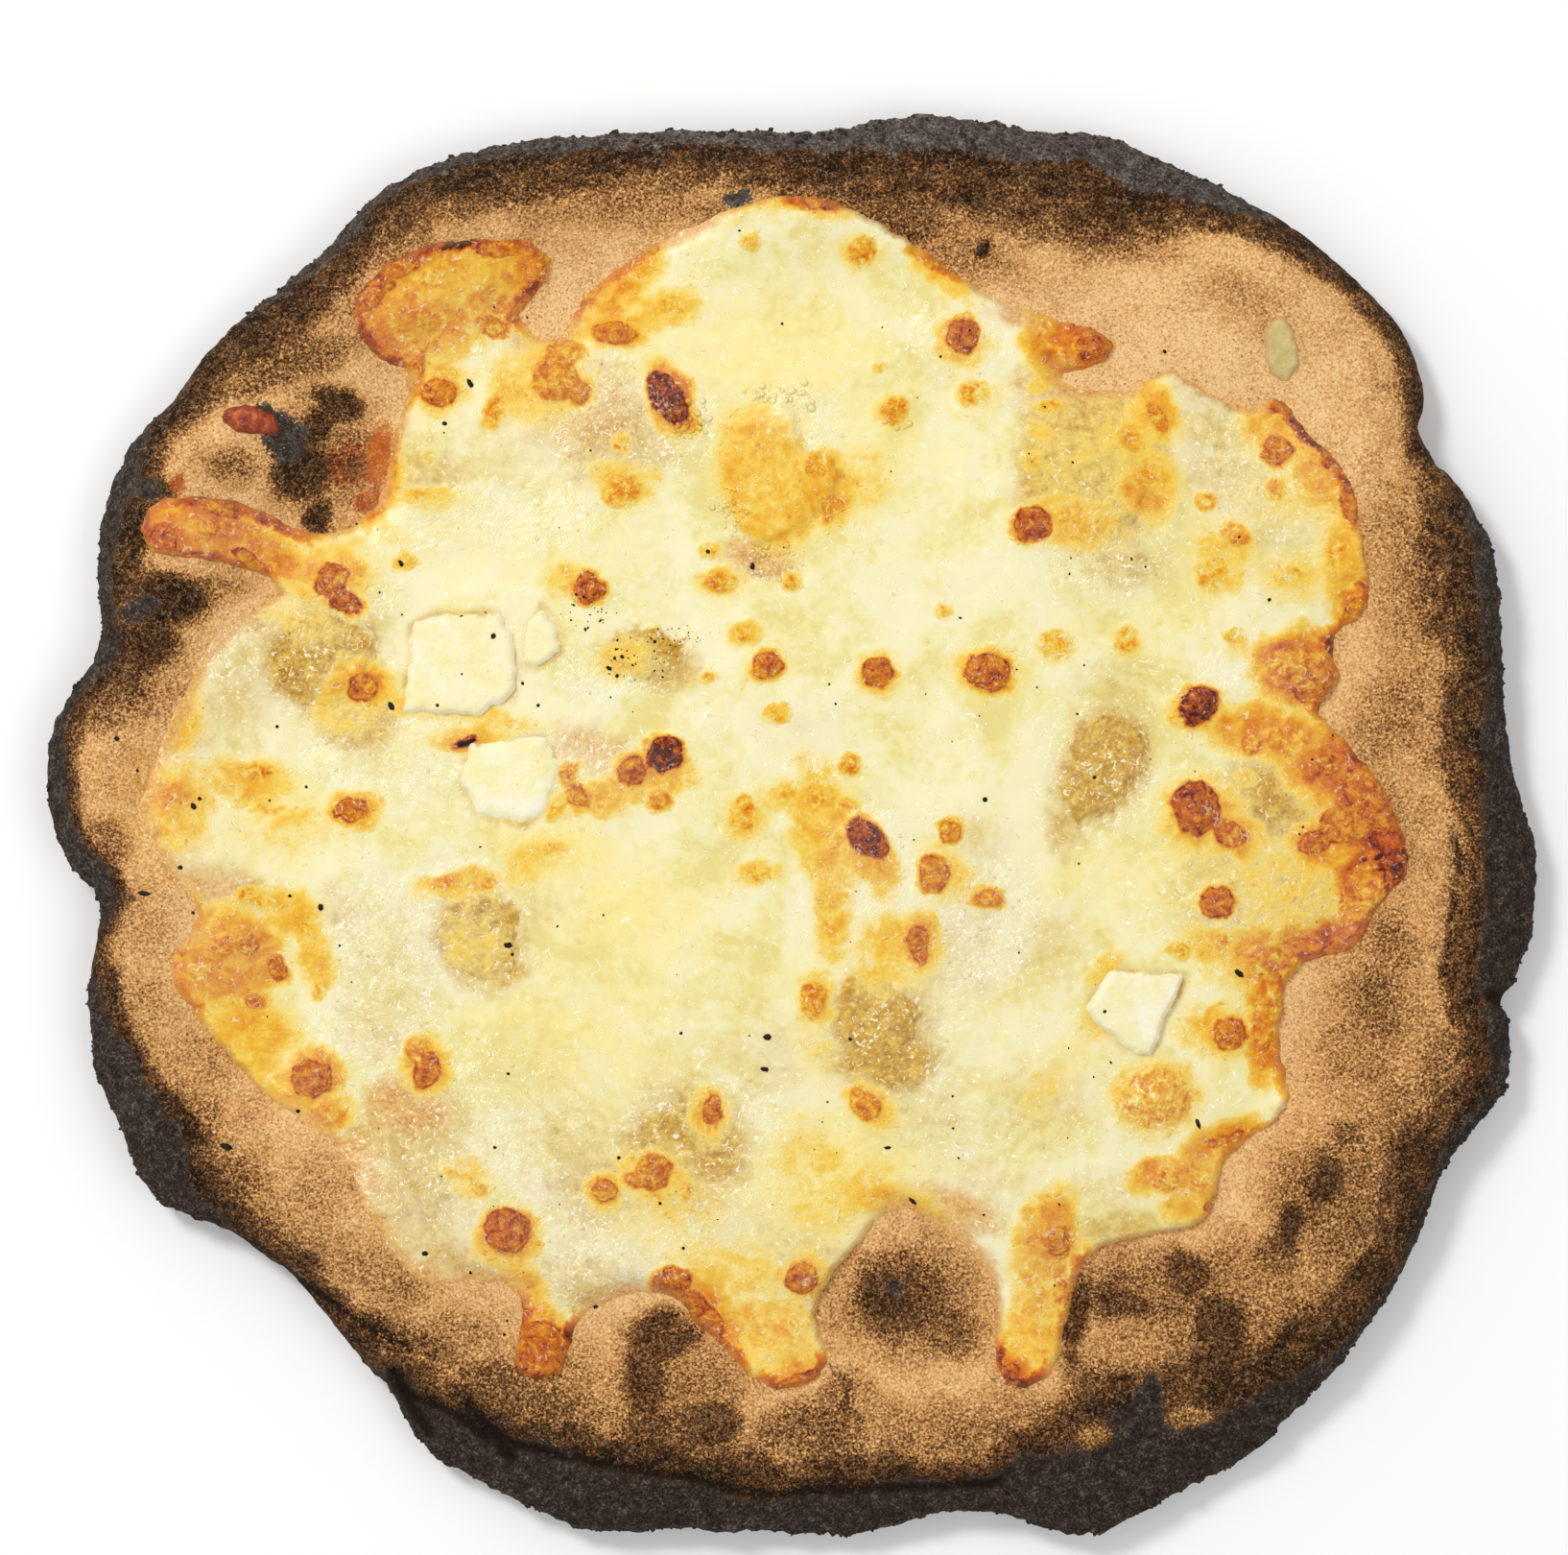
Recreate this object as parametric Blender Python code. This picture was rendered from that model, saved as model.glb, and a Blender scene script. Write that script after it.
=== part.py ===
"""Four cheese pizza, whole and uncut, lying on its flat base.

A thin dough disc with a puffed, charred rim carries one sheet of melted cheese. Slices and lumps
of the other cheeses lie in shallow seats in that sheet. Lengths below are in millimetres, on a
chart whose origin is the middle of the pizza, +X right and +Y away from the viewer, +Z up.
MM turns them into metres when a mesh is made.
"""

import math

import bpy
import numpy as np
from mathutils import Matrix, Vector, noise
from mathutils.geometry import delaunay_2d_cdt

MM = 0.001
GAP = 0.3                   # clear space between two solids that lie on each other

# Dough: a flat floor inside a puffed rim.
FLOOR_HEIGHT = 4.0          # thickness of the dough under the cheese
CREST_HEIGHT = 14.0         # mean height of the rim
CREST_SWING = 2.6           # how far the height of the rim wanders either way
CREST_DEPTH = 13.0          # mean distance of the crest from the outer edge
CREST_LEAN = 4.0            # the crest lies this much nearer the edge at the back, further in front
SLOPE_WIDTH = 27.0          # run of the slope from the crest down to the floor
SLOPE_EXTRA = 16.0          # added run where the rim spreads out, at the back right
SLOPE_EXTRA_ANGLE = 48.0    # degrees
SLOPE_EXTRA_SPAN = 24.0     # degrees
SHOULDER_DEPTH = 1.2        # where the outer wall turns into the top
SHOULDER_SHARE = 0.62       # height of that turn as a share of the crest
DOUGH_SWELL = 0.6           # soft unevenness of the dough
DOUGH_SWELL_SIZE = 19.0
EDGE_CRUMBLE = 0.5          # roughness of the outer edge
EDGE_CRUMBLE_SIZE = 9.0

# Outer wall below the shoulder: distance from the edge, height as a share of the crest.
WALL_RINGS = ((0.0, 0.43), (0.8, 0.22), (3.0, 0.06), (6.5, 0.0))
TOP_RING_DEPTHS = (4.0, 8.0, 12.5, 17.0, 22.0, 28.0, 34.0, 41.0, 49.0, 58.0)
RING_STEPS = 168            # points round the pizza
FLOOR_GRID = 10.0           # spacing of points under the cheese

# Cheese sheet
CHEESE_THICKNESS = 3.0
CHEESE_EDGE = 1.2           # thickness at the very edge
CHEESE_ROUND = 5.0          # the sheet reaches its full thickness this far in
CHEESE_SWELL = 0.9          # soft unevenness of the melted sheet
CHEESE_SWELL_SIZE = 21.0
CHEESE_GRID = 6.6           # spacing of points on top of the sheet
CHEESE_EDGE_STEP = 5.0      # spacing of points along its outline
BLISTER_SIDES = 6
BLISTER_RISE = 0.34         # height of a fried bubble as a share of its radius
SEAT_MARGIN = 0.8           # a seat is this much larger than the piece in it
SEAT_WALL = 1.6             # run of the wall round a seat
SEAT_CHEESE = 1.3           # thickness of the cheese under a seat

# Side of a piece, as shares of its rise and of its outline.
SLICE_PROFILE = ((0.0, 0.97), (0.7, 1.0), (0.93, 0.96), (1.0, 0.86), (1.0, 0.45))
LUMP_PROFILE = ((0.0, 0.98), (0.5, 1.0), (0.8, 0.88), (0.95, 0.66), (1.0, 0.35))
PEAK_RISE = 0.1             # the middle of a piece stands this much over its last ring
SCRAP_EDGE = 0.35           # thickness of a scrap at its edge
SCRAP_ROUND = 1.8           # a scrap reaches its full thickness this far in
SCRAP_GRID = 2.2            # spacing of points in a scrap

# Outer edge of the crust, clockwise from the back.
CRUST_OUTLINE = (
    (-13, 145), (5, 145), (16, 146.5), (27, 149), (36, 148.5), (43, 146.5), (55, 144.5),
    (63, 145), (70, 142), (81, 137.5), (92, 132), (105, 124.5), (118, 114), (127.5, 103.5),
    (132.5, 90), (132, 82.5), (134.5, 77), (144, 63.5), (148, 51), (148.5, 32), (150.5, 12),
    (154.5, 0), (156, -14), (153.5, -27), (149, -36), (150, -46), (148, -57.5), (141, -65),
    (133.5, -78), (128, -92), (116, -111), (105, -123), (94.5, -133), (79, -140.5), (65.5, -148),
    (58, -148.5), (45, -144), (29, -144), (15, -148.5), (-5, -148), (-25, -147), (-42, -148),
    (-51.5, -144), (-64, -138), (-77.5, -130.5), (-83, -120), (-93, -108), (-105, -94),
    (-117, -85), (-133, -78.5), (-140, -64), (-146.5, -49), (-146.5, -29), (-144, -16),
    (-152, -7), (-156, 8), (-153.5, 24), (-144.5, 36), (-145.5, 55), (-140, 76), (-128.5, 89),
    (-121, 100), (-108, 111), (-98, 119.5), (-84.5, 133.5), (-64, 141.5), (-43, 144), (-25, 145),
)

# Edge of the melted cheese, clockwise from the back.
CHEESE_OUTLINE = (
    (-7, 129.5), (1, 130.5), (9, 129), (16, 126.5), (29, 119), (40, 111), (48.5, 108), (57, 105),
    (66.5, 102), (67, 97), (56, 92.5), (70, 91), (78, 95), (88, 89), (96, 86), (101.5, 89.5),
    (106, 83), (115.5, 72), (118.5, 58), (120, 45), (112, 38), (115, 30), (109.5, 24),
    (118, 15), (125.5, 3), (128.5, -9), (121.5, -18), (117.5, -26), (105, -30.5), (102, -45),
    (103.5, -59), (90.5, -70), (86, -83), (65, -88), (59.5, -96), (55, -113), (47, -117.5),
    (42, -112), (43, -98), (35, -88), (22.5, -80.5), (13, -89), (5, -101), (8, -113),
    (-4, -117.5), (-16, -108), (-27.5, -98), (-43, -102.5), (-48, -114), (-57, -114),
    (-58, -97), (-77, -95), (-87.5, -82), (-95, -67), (-110, -56), (-124, -39), (-129, -29),
    (-124, -18), (-135, 0), (-132, 14), (-126, 29), (-119, 41), (-106, 49), (-118, 54),
    (-134, 57), (-132, 67), (-116, 67.5), (-98, 60.5), (-87, 67), (-84, 81), (-80, 93),
    (-88, 98), (-90.5, 109), (-77, 119.5), (-55, 121.5), (-49.5, 115), (-57, 106), (-48, 101.5),
    (-44.5, 110), (-27, 122),
)

# Burst and puffed places of the rim: x, y, radius, rise.
DOUGH_BUBBLES = (
    (-101, 76, 18, 4.5), (25, -99, 16, 5.5), (76, -101, 18, 4.5), (-27, -116, 14, 3.5),
    (107, -76, 14, 3.5), (122, -34, 13, 3.0), (91, 108, 34, 2.5), (-127, 44, 13, 2.5),
    (135, 52, 13, 2.5), (-103, -88, 12, 2.5), (139, -8, 14, 3.0), (58, 139, 17, 2.0),
    (-74, 126, 15, 2.0), (-132, -62, 14, 2.5), (30, -132, 14, 2.0), (-142, 8, 12, 2.0),
)

# The larger fried bubbles of the cheese: x, y, radius.
CHEESE_BLISTERS = (
    (35.6, 101.8, 3.4), (-26, 88.8, 4.5), (-73, 89.4, 4), (-49.4, 92.8, 4.2), (-37, 102.2, 4),
    (-42.4, 49.4, 3.6), (-5, 33.2, 3.2), (18, 31.8, 3.4), (40.6, 31.8, 4.6), (50, 62.8, 4.4),
    (63, 99.8, 4), (100.6, 77.8, 3.6), (92.4, 60.4, 3), (117.4, 43.8, 3.4), (107, 33, 6.5),
    (84.4, 24.8, 4.4), (85, 3.6, 5.6), (109, -3.8, 3), (125.4, -9.2, 3.4), (88.4, -16.2, 3.6),
    (91.6, -43.6, 3.6), (27, -24.6, 3.4), (15.6, -3.8, 4.6), (40, -15.6, 3), (5, -36.6, 3.2),
    (-26, 14.8, 4), (-33.4, 11.2, 3.2), (-91.4, 3.2, 3.4), (-96, 50.8, 4), (-89, 28.8, 4),
    (-99.6, -52.6, 4.8), (-76, -50.6, 3.6), (-59, -85.2, 4.8), (-29, -72.2, 4.2),
    (16, -58.2, 3.4), (2, -94.2, 3.4), (76, -57.2, 6.5), (45.4, -114.2, 3.2), (1.6, -116, 3.6),
    (-52.6, -108.2, 5), (-118, 60, 5), (-112, -24, 5.5),
)

# Slices cut with a knife: straight edges and flat tops. Outline, rise over the seat.
SLICES = {
    "soft_cheese_slice": (
        ((-79, 41.5), (-75, 43.8), (-61, 43.8), (-58, 39.8), (-57, 31.8), (-58, 26.8),
         (-65, 22.8), (-81, 23.4), (-80, 31.8)), 3.0),
    "soft_cheese_sliver": (
        ((-52, 45.4), (-49, 41.8), (-48, 35.8), (-53.4, 32.4), (-56, 34), (-55, 41.8)), 2.8),
    "soft_cheese_corner": (
        ((66, -30.2), (82, -31.2), (80, -36.2), (78, -40.2), (75, -48.2), (72, -48.2),
         (63, -41.2), (61, -38.2)), 3.2),
    "fresh_cheese_slab": (
        ((-67, 17), (-51, 18.6), (-48, 11.8), (-51.5, 2.2), (-56, -0.2), (-66, 2.6), (-69, 9)), 2.4),
}

# Melted lumps: soft outlines and domed tops. Outline, rise over the seat.
LUMPS = {
    "yellow_cheese_piece": (
        ((-14, 84), (-7, 88), (-2, 90.8), (2, 86), (3, 80), (10, 75.5), (10.5, 69), (5, 63),
         (-2, 58), (-8, 57.5), (-13.5, 63), (-15, 73)), 3.0),
    "blue_cheese_lump_left": (
        ((-104, 43), (-94, 44), (-86.5, 40), (-86, 31), (-92, 25), (-102, 25), (-107, 34)), 2.6),
    "blue_cheese_lump_middle": (
        ((-37, 41), (-30, 42), (-22, 39), (-21.5, 33), (-27, 29.5), (-35, 30.5), (-39, 35)), 2.2),
    "blue_cheese_lump_right": (
        ((59, 23), (69, 24), (75, 17), (73, 8), (66, 2), (59, -2), (55, 6), (57, 16)), 2.6),
    "blue_cheese_lump_front": (
        ((10, -31), (19, -31), (27, -37), (26, -47), (19, -52), (11, -49), (8, -39)), 2.6),
    "blue_cheese_lump_back": (
        ((50, 84), (60, 86), (70, 83.5), (76, 73), (72, 60), (62, 57.5), (56, 64), (49.5, 75)), 2.6),
    "blue_cheese_lump_small": (
        ((-69, -14), (-60, -13.5), (-55, -20), (-57, -30), (-65, -33), (-71, -25)), 2.2),
}

# Scraps of cheese that lie by themselves on the dough: outline, thickness.
SCRAPS = {
    "pale_cheese_scrap": (
        ((98, 103), (101, 105), (104, 102), (105, 96), (103, 92), (99.5, 93), (98, 98)), 0.9),
    "fried_cheese_scrap": (
        ((-118, 85), (-113, 87), (-107, 84.5), (-106, 81), (-110, 80.5), (-116, 82)), 1.3),
}


def smooth_loop(points, parts):
    """Closed curve through the points, with the same number of parts between each two."""
    points = np.array(points, dtype=float)
    before, after = np.roll(points, 1, axis=0), np.roll(points, -1, axis=0)
    beyond = np.roll(points, -2, axis=0)
    curve = []
    for share in np.arange(parts) / parts:
        pull = 0.5 * (after - before) * share
        bend = (before - 2.5 * points + 2.0 * after - 0.5 * beyond) * share ** 2
        twist = 0.5 * (3.0 * (points - after) + beyond - before) * share ** 3
        curve.append(points + pull + bend + twist)
    return np.stack(curve, axis=1).reshape(-1, 2)


def even_loop(points, step):
    """The same closed line with points a step apart."""
    closed = np.vstack([points, points[:1]])
    runs = np.hypot(*np.diff(closed, axis=0).T)
    along = np.concatenate([[0.0], np.cumsum(runs)])
    count = max(6, round(along[-1] / step))
    places = np.arange(count) * along[-1] / count
    return np.stack([np.interp(places, along, closed[:, axis]) for axis in (0, 1)], axis=1)


def grown(loop, margin):
    """A closed line moved outwards from its middle by a margin."""
    middle = loop.mean(axis=0)
    arms = loop - middle
    reach = np.hypot(*arms.T)[:, None]
    return middle + arms * (reach + margin) / reach


def inside(points, loop):
    """True for each point that lies within the closed line."""
    x, y = points[:, :1], points[:, 1:]
    (x0, y0), (x1, y1) = loop.T, np.roll(loop, -1, axis=0).T
    rise = np.where(y1 == y0, 1e-9, y1 - y0)
    crossed = ((y0 > y) != (y1 > y)) & (x < (x1 - x0) * (y - y0) / rise + x0)
    return crossed.sum(axis=1) % 2 == 1


def distance(points, loop):
    """Distance of each point from the closed line."""
    start = loop[None]
    run = np.roll(loop, -1, axis=0)[None] - start
    arm = points[:, None] - start
    length = np.maximum((run ** 2).sum(axis=2), 1e-12)
    share = np.clip((arm * run).sum(axis=2) / length, 0.0, 1.0)
    return np.sqrt(((arm - run * share[..., None]) ** 2).sum(axis=2).min(axis=1))


def swell(points, size, layer):
    """Soft unevenness between about -1 and 1, with waves of the given size."""
    return np.array([noise.noise(Vector((x / size, y / size, layer))) for x, y in points])


def smooth_step(share):
    share = np.clip(share, 0.0, 1.0)
    return share * share * (3.0 - 2.0 * share)


def lattice(loop, spacing):
    """Points of a triangular grid inside a closed line."""
    low, high = loop.min(axis=0), loop.max(axis=0)
    rows = []
    for row, y in enumerate(np.arange(low[1], high[1], spacing * math.sin(math.radians(60)))):
        x = np.arange(low[0] + spacing / 2 * (row % 2), high[0], spacing)
        rows.append(np.stack([x, np.full_like(x, y)], axis=1))
    points = np.vstack(rows)
    return points[inside(points, loop)]


def clear_of(points, others, least):
    """The points that keep the least distance from every other point."""
    apart = np.hypot(*(points[:, None] - others[None]).transpose(2, 0, 1)).min(axis=1)
    return points[apart > least]


def triangulate(loops, free_points):
    """Flat triangles through all points, with every loop kept as edges."""
    points = np.vstack([*loops, free_points])
    edges, first = [], 0
    for loop in loops:
        count = len(loop)
        edges += [(first + i, first + (i + 1) % count) for i in range(count)]
        first += count
    flat, _, faces, *_ = delaunay_2d_cdt([Vector(p) for p in points], edges, [], 0, 1e-6)
    flat = np.array([tuple(p) for p in flat])
    faces = np.array([tuple(face) for face in faces])
    corners = flat[faces]
    sides = corners[:, 1:] - corners[:, :1]
    turn = sides[:, 0, 0] * sides[:, 1, 1] - sides[:, 0, 1] * sides[:, 1, 0]
    faces[turn < 0] = faces[turn < 0][:, ::-1]
    middles = corners.mean(axis=1)
    return flat, faces[inside(middles, loops[0])]


def nearest(points, targets):
    """Index of the point at each target."""
    return [int(np.hypot(*(points - target).T).argmin()) for target in targets]


def material(name, colour, roughness):
    made = bpy.data.materials.new(name)
    made.use_nodes = True
    shader = made.node_tree.nodes["Principled BSDF"]
    shader.inputs["Base Color"].default_value = (*colour, 1.0)
    shader.inputs["Roughness"].default_value = roughness
    shader.inputs["Metallic"].default_value = 0.0
    return made


def solid(name, points, faces, finish):
    """One named object from points in millimetres."""
    mesh = bpy.data.meshes.new(name)
    mesh.from_pydata([tuple(MM * value for value in point) for point in points], [], faces)
    mesh.validate()
    mesh.shade_smooth()
    mesh.materials.append(finish)
    thing = bpy.data.objects.new(name, mesh)
    bpy.context.scene.collection.objects.link(thing)
    return thing


def band(lower, upper, outwards=True):
    """Faces between two rings of point indices that run the same way round."""
    count = len(lower)
    faces = []
    for i in range(count):
        j = (i + 1) % count
        face = (lower[i], lower[j], upper[j], upper[i])
        faces.append(face if outwards else face[::-1])
    return faces


class Dough:
    """The crust's outline and the height of its top."""

    def __init__(self):
        curve = smooth_loop(CRUST_OUTLINE, 6)[::-1]
        turn = np.arctan2(curve[:, 1], curve[:, 0])
        reach = np.hypot(*curve.T)
        order = np.argsort(turn)
        self.angles = np.arange(RING_STEPS) * 2 * math.pi / RING_STEPS - math.pi
        self.reach = np.interp(self.angles, turn[order], reach[order], period=2 * math.pi)
        rough = swell(self.ring(0.0), EDGE_CRUMBLE_SIZE, 3.1)
        self.reach = self.reach + EDGE_CRUMBLE * rough
        self.outline = self.ring(0.0)

    def ring(self, depth):
        """Points all round at a depth in from the outer edge."""
        radius = self.reach - depth
        return np.stack([radius * np.cos(self.angles), radius * np.sin(self.angles)], axis=1)

    def crest(self, points):
        """Height of the crest, its depth in from the edge and the run of the slope inside it."""
        angle = np.arctan2(points[:, 1], points[:, 0])
        around = np.stack([np.cos(angle), np.sin(angle)], axis=1)
        height = CREST_HEIGHT + CREST_SWING * 1.6 * swell(around, 0.42, 7.7)
        depth = CREST_DEPTH - CREST_LEAN * around[:, 1] + 2.0 * swell(around, 0.35, 1.3)
        offset = np.degrees(angle) - SLOPE_EXTRA_ANGLE
        offset = (offset + 180.0) % 360.0 - 180.0
        slope = SLOPE_WIDTH + SLOPE_EXTRA * np.exp(-(offset / SLOPE_EXTRA_SPAN) ** 2)
        return height, depth, slope

    def height(self, points):
        depth = distance(points, self.outline)
        crest, crest_depth, slope = self.crest(points)
        outer = 1.0 - np.clip((depth - SHOULDER_DEPTH) / (crest_depth - SHOULDER_DEPTH), 0.0, 1.0)
        shoulder = crest * (1.0 - (1.0 - SHOULDER_SHARE) * outer ** 2.2)
        fall = smooth_step((depth - crest_depth) / slope)
        top = shoulder + (FLOOR_HEIGHT - shoulder) * fall
        for x, y, radius, rise in DOUGH_BUBBLES:
            away = np.hypot(points[:, 0] - x, points[:, 1] - y) / radius
            edge = smooth_step(depth / 6.0)
            top += rise * edge * np.clip(1.0 - away ** 2, 0.0, 1.0) ** 2
        waves = DOUGH_SWELL * swell(points, DOUGH_SWELL_SIZE, 0.4) * smooth_step(depth / 5.0)
        return top + waves * (1.0 - 0.7 * smooth_step((depth - 45.0) / 20.0))


def make_seats():
    """Seat outline of every piece that lies in the cheese."""
    seats = {}
    for name, (outline, rise) in {**SLICES, **LUMPS}.items():
        parts = 1 if name in SLICES else 2
        loop = smooth_loop(outline, parts)[::-1]
        seats[name] = (loop, rise)
    return seats


def make_crust(dough, cheese_loop):
    """The dough, and the flat triangles that its top shares with the cheese lying on it."""
    shoulder = dough.ring(SHOULDER_DEPTH)
    rings = np.vstack([dough.ring(depth) for depth in TOP_RING_DEPTHS])
    outside = rings[~inside(rings, cheese_loop)]
    under = lattice(cheese_loop, FLOOR_GRID)
    free = np.vstack([clear_of(outside, cheese_loop, 2.6), clear_of(under, cheese_loop, 4.0)])
    flat, faces = triangulate([shoulder, cheese_loop], free)
    top = np.column_stack([flat, dough.height(flat)])

    points = [tuple(point) for point in top]
    upper = nearest(flat, shoulder)
    crest = dough.crest(shoulder)[0]
    solid_faces = [tuple(face) for face in faces]
    for depth, share in WALL_RINGS:
        ring = dough.ring(depth)
        lower = list(range(len(points), len(points) + len(ring)))
        points += [(x, y, share * rim) for (x, y), rim in zip(ring, crest)]
        solid_faces += band(lower, upper)
        upper = lower
    solid_faces.append(tuple(reversed(upper)))
    solid("crust", points, solid_faces, material("baked_dough", (0.62, 0.35, 0.15), 0.85))
    return flat, faces, top


def make_cheese(cheese_loop, land, seats):
    """The melted sheet: its bottom copies the dough below it, its top has fried bubbles."""
    flat, faces, top = land
    middles = flat[faces].mean(axis=1)
    under_faces = faces[inside(middles, cheese_loop)]
    used = np.unique(under_faces)
    place = {int(old): new for new, old in enumerate(used)}
    points = [(x, y, z + GAP) for x, y, z in top[used]]
    solid_faces = [tuple(place[int(i)] for i in face[::-1]) for face in under_faces]
    edge_low = [place[i] for i in nearest(flat, cheese_loop)]

    loops = [cheese_loop]
    for loop, _ in seats.values():
        loops += [grown(loop, SEAT_MARGIN), grown(loop, SEAT_MARGIN + SEAT_WALL)]
    fixed = np.vstack(loops)
    bubbles = []
    for x, y, radius in CHEESE_BLISTERS:
        turns = np.arange(BLISTER_SIDES) * 2 * math.pi / BLISTER_SIDES
        ring = np.stack([x + radius * np.cos(turns), y + radius * np.sin(turns)], axis=1)
        bubbles.append(np.vstack([[(x, y)], ring]))
    bubbles = clear_of(np.vstack(bubbles), fixed, 1.0)
    bubbles = bubbles[inside(bubbles, cheese_loop)]
    grid = clear_of(lattice(cheese_loop, CHEESE_GRID), np.vstack([fixed, bubbles]), 3.0)
    sheet, sheet_faces = triangulate(loops, np.vstack([bubbles, grid]))

    ground = ground_under(sheet, flat, faces, top)
    into = smooth_step(distance(sheet, cheese_loop) / CHEESE_ROUND)
    thick = CHEESE_EDGE + (CHEESE_THICKNESS - CHEESE_EDGE) * into
    thick += CHEESE_SWELL * into * swell(sheet, CHEESE_SWELL_SIZE, 5.5)
    for x, y, radius in CHEESE_BLISTERS:
        away = np.hypot(sheet[:, 0] - x, sheet[:, 1] - y) / (radius * 1.05)
        thick += BLISTER_RISE * radius * np.clip(1.0 - away ** 2, 0.0, 1.0) * into
    height = ground + GAP + thick
    seat_heights = {}
    for name, (loop, _) in seats.items():
        seated = inside(sheet, grown(loop, SEAT_MARGIN + 0.05))
        level = float(ground[seated].max()) + GAP + SEAT_CHEESE
        height[seated] = level
        seat_heights[name] = level

    first = len(points)
    points += [(x, y, z) for (x, y), z in zip(sheet, height)]
    solid_faces += [tuple(first + int(i) for i in face) for face in sheet_faces]
    edge_high = [first + i for i in nearest(sheet, cheese_loop)]
    solid_faces += band(edge_low, edge_high)
    solid("cheese", points, solid_faces, material("melted_cheese", (0.87, 0.78, 0.42), 0.4))
    return seat_heights


def ground_under(points, flat, faces, top):
    """Height of the faceted dough below each point."""
    a, b, c = (top[faces[:, corner]] for corner in range(3))
    whole = (b[:, 0] - a[:, 0]) * (c[:, 1] - a[:, 1]) - (b[:, 1] - a[:, 1]) * (c[:, 0] - a[:, 0])
    heights = []
    for x, y in points:
        at_b = ((x - a[:, 0]) * (c[:, 1] - a[:, 1]) - (y - a[:, 1]) * (c[:, 0] - a[:, 0])) / whole
        at_c = ((b[:, 0] - a[:, 0]) * (y - a[:, 1]) - (b[:, 1] - a[:, 1]) * (x - a[:, 0])) / whole
        best = np.minimum(np.minimum(at_b, at_c), 1.0 - at_b - at_c).argmax()
        share_b, share_c = at_b[best], at_c[best]
        heights.append((1.0 - share_b - share_c) * a[best, 2] + share_b * b[best, 2]
                       + share_c * c[best, 2])
    return np.array(heights)


def stacked(name, loop, base, rise, profile, finish):
    """A closed body of level rings, one for each height and size that the profile gives."""
    middle = loop.mean(axis=0)
    points, faces, lower = [], [], None
    for height, size in profile:
        ring = list(range(len(points), len(points) + len(loop)))
        points += [(*(middle + (point - middle) * size), base + height * rise) for point in loop]
        if lower:
            faces += band(lower, ring)
        else:
            faces.append(tuple(reversed(ring)))
        lower = ring
    peak = len(points)
    points.append((*middle, base + rise + PEAK_RISE))
    faces += [(ring[i], ring[(i + 1) % len(ring)], peak) for i in range(len(ring))]
    solid(name, points, faces, finish)


def make_slices(seats, seat_heights):
    """Slices with steep cut sides and a slightly rounded top edge."""
    finish = material("soft_cheese", (0.92, 0.84, 0.52), 0.5)
    for name in SLICES:
        loop, rise = seats[name]
        stacked(name, loop, seat_heights[name] + GAP, rise, SLICE_PROFILE, finish)


def make_lumps(seats, seat_heights):
    """Lumps with soft sides and a domed top."""
    yellow = material("yellow_cheese", (0.88, 0.62, 0.14), 0.35)
    blue = material("blue_cheese", (0.66, 0.47, 0.19), 0.35)
    for name in LUMPS:
        loop, rise = seats[name]
        finish = yellow if name.startswith("yellow") else blue
        stacked(name, loop, seat_heights[name] + GAP, rise, LUMP_PROFILE, finish)


def make_scraps(land):
    """Thin scraps that follow the slope of the dough."""
    flat, faces, top = land
    finishes = {
        "pale_cheese_scrap": material("pale_scrap", (0.80, 0.62, 0.30), 0.5),
        "fried_cheese_scrap": material("fried_scrap", (0.42, 0.13, 0.04), 0.45),
    }
    for name, (outline, thickness) in SCRAPS.items():
        loop = smooth_loop(outline, 2)[::-1]
        grid = clear_of(lattice(loop, SCRAP_GRID), loop, 1.0)
        scrap, scrap_faces = triangulate([loop], grid)
        ground = ground_under(scrap, flat, faces, top)
        into = smooth_step(distance(scrap, loop) / SCRAP_ROUND)
        under = ground + 2 * GAP
        over = under + SCRAP_EDGE + (thickness - SCRAP_EDGE) * into
        count = len(scrap)
        points = [(*p, z) for p, z in zip(scrap, under)] + [(*p, z) for p, z in zip(scrap, over)]
        solid_faces = [tuple(int(i) for i in face[::-1]) for face in scrap_faces]
        solid_faces += [tuple(count + int(i) for i in face) for face in scrap_faces]
        edge = nearest(scrap, loop)
        solid_faces += band(edge, [count + i for i in edge])
        solid(name, points, solid_faces, finishes[name])


def stand_on_origin():
    """Moves everything so that the origin is the middle of the flat base."""
    corners = np.array([point.co for thing in bpy.data.objects for point in thing.data.vertices])
    low, high = corners.min(axis=0), corners.max(axis=0)
    middle = (low + high) / 2
    shift = Matrix.Translation((-middle[0], -middle[1], -low[2]))
    for thing in bpy.data.objects:
        thing.data.transform(shift)


def main():
    for thing in list(bpy.data.objects):
        bpy.data.objects.remove(thing)
    dough = Dough()
    cheese_loop = even_loop(smooth_loop(CHEESE_OUTLINE, 6)[::-1], CHEESE_EDGE_STEP)
    seats = make_seats()
    land = make_crust(dough, cheese_loop)
    seat_heights = make_cheese(cheese_loop, land, seats)
    make_slices(seats, seat_heights)
    make_lumps(seats, seat_heights)
    make_scraps(land)
    stand_on_origin()


main()
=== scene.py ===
"""The looks of a four cheese pizza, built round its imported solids.

The dough and the cheese sheet are fine closed meshes that take their form from the solids, with
relief, baking marks and fried bubbles added. Places on the pizza are read from the photograph's
frame of 1634 x 1620 pixels, at PIXEL millimetres each. Work is done in millimetres and turned
into metres when a mesh is made.
"""

import functools
import math

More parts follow.
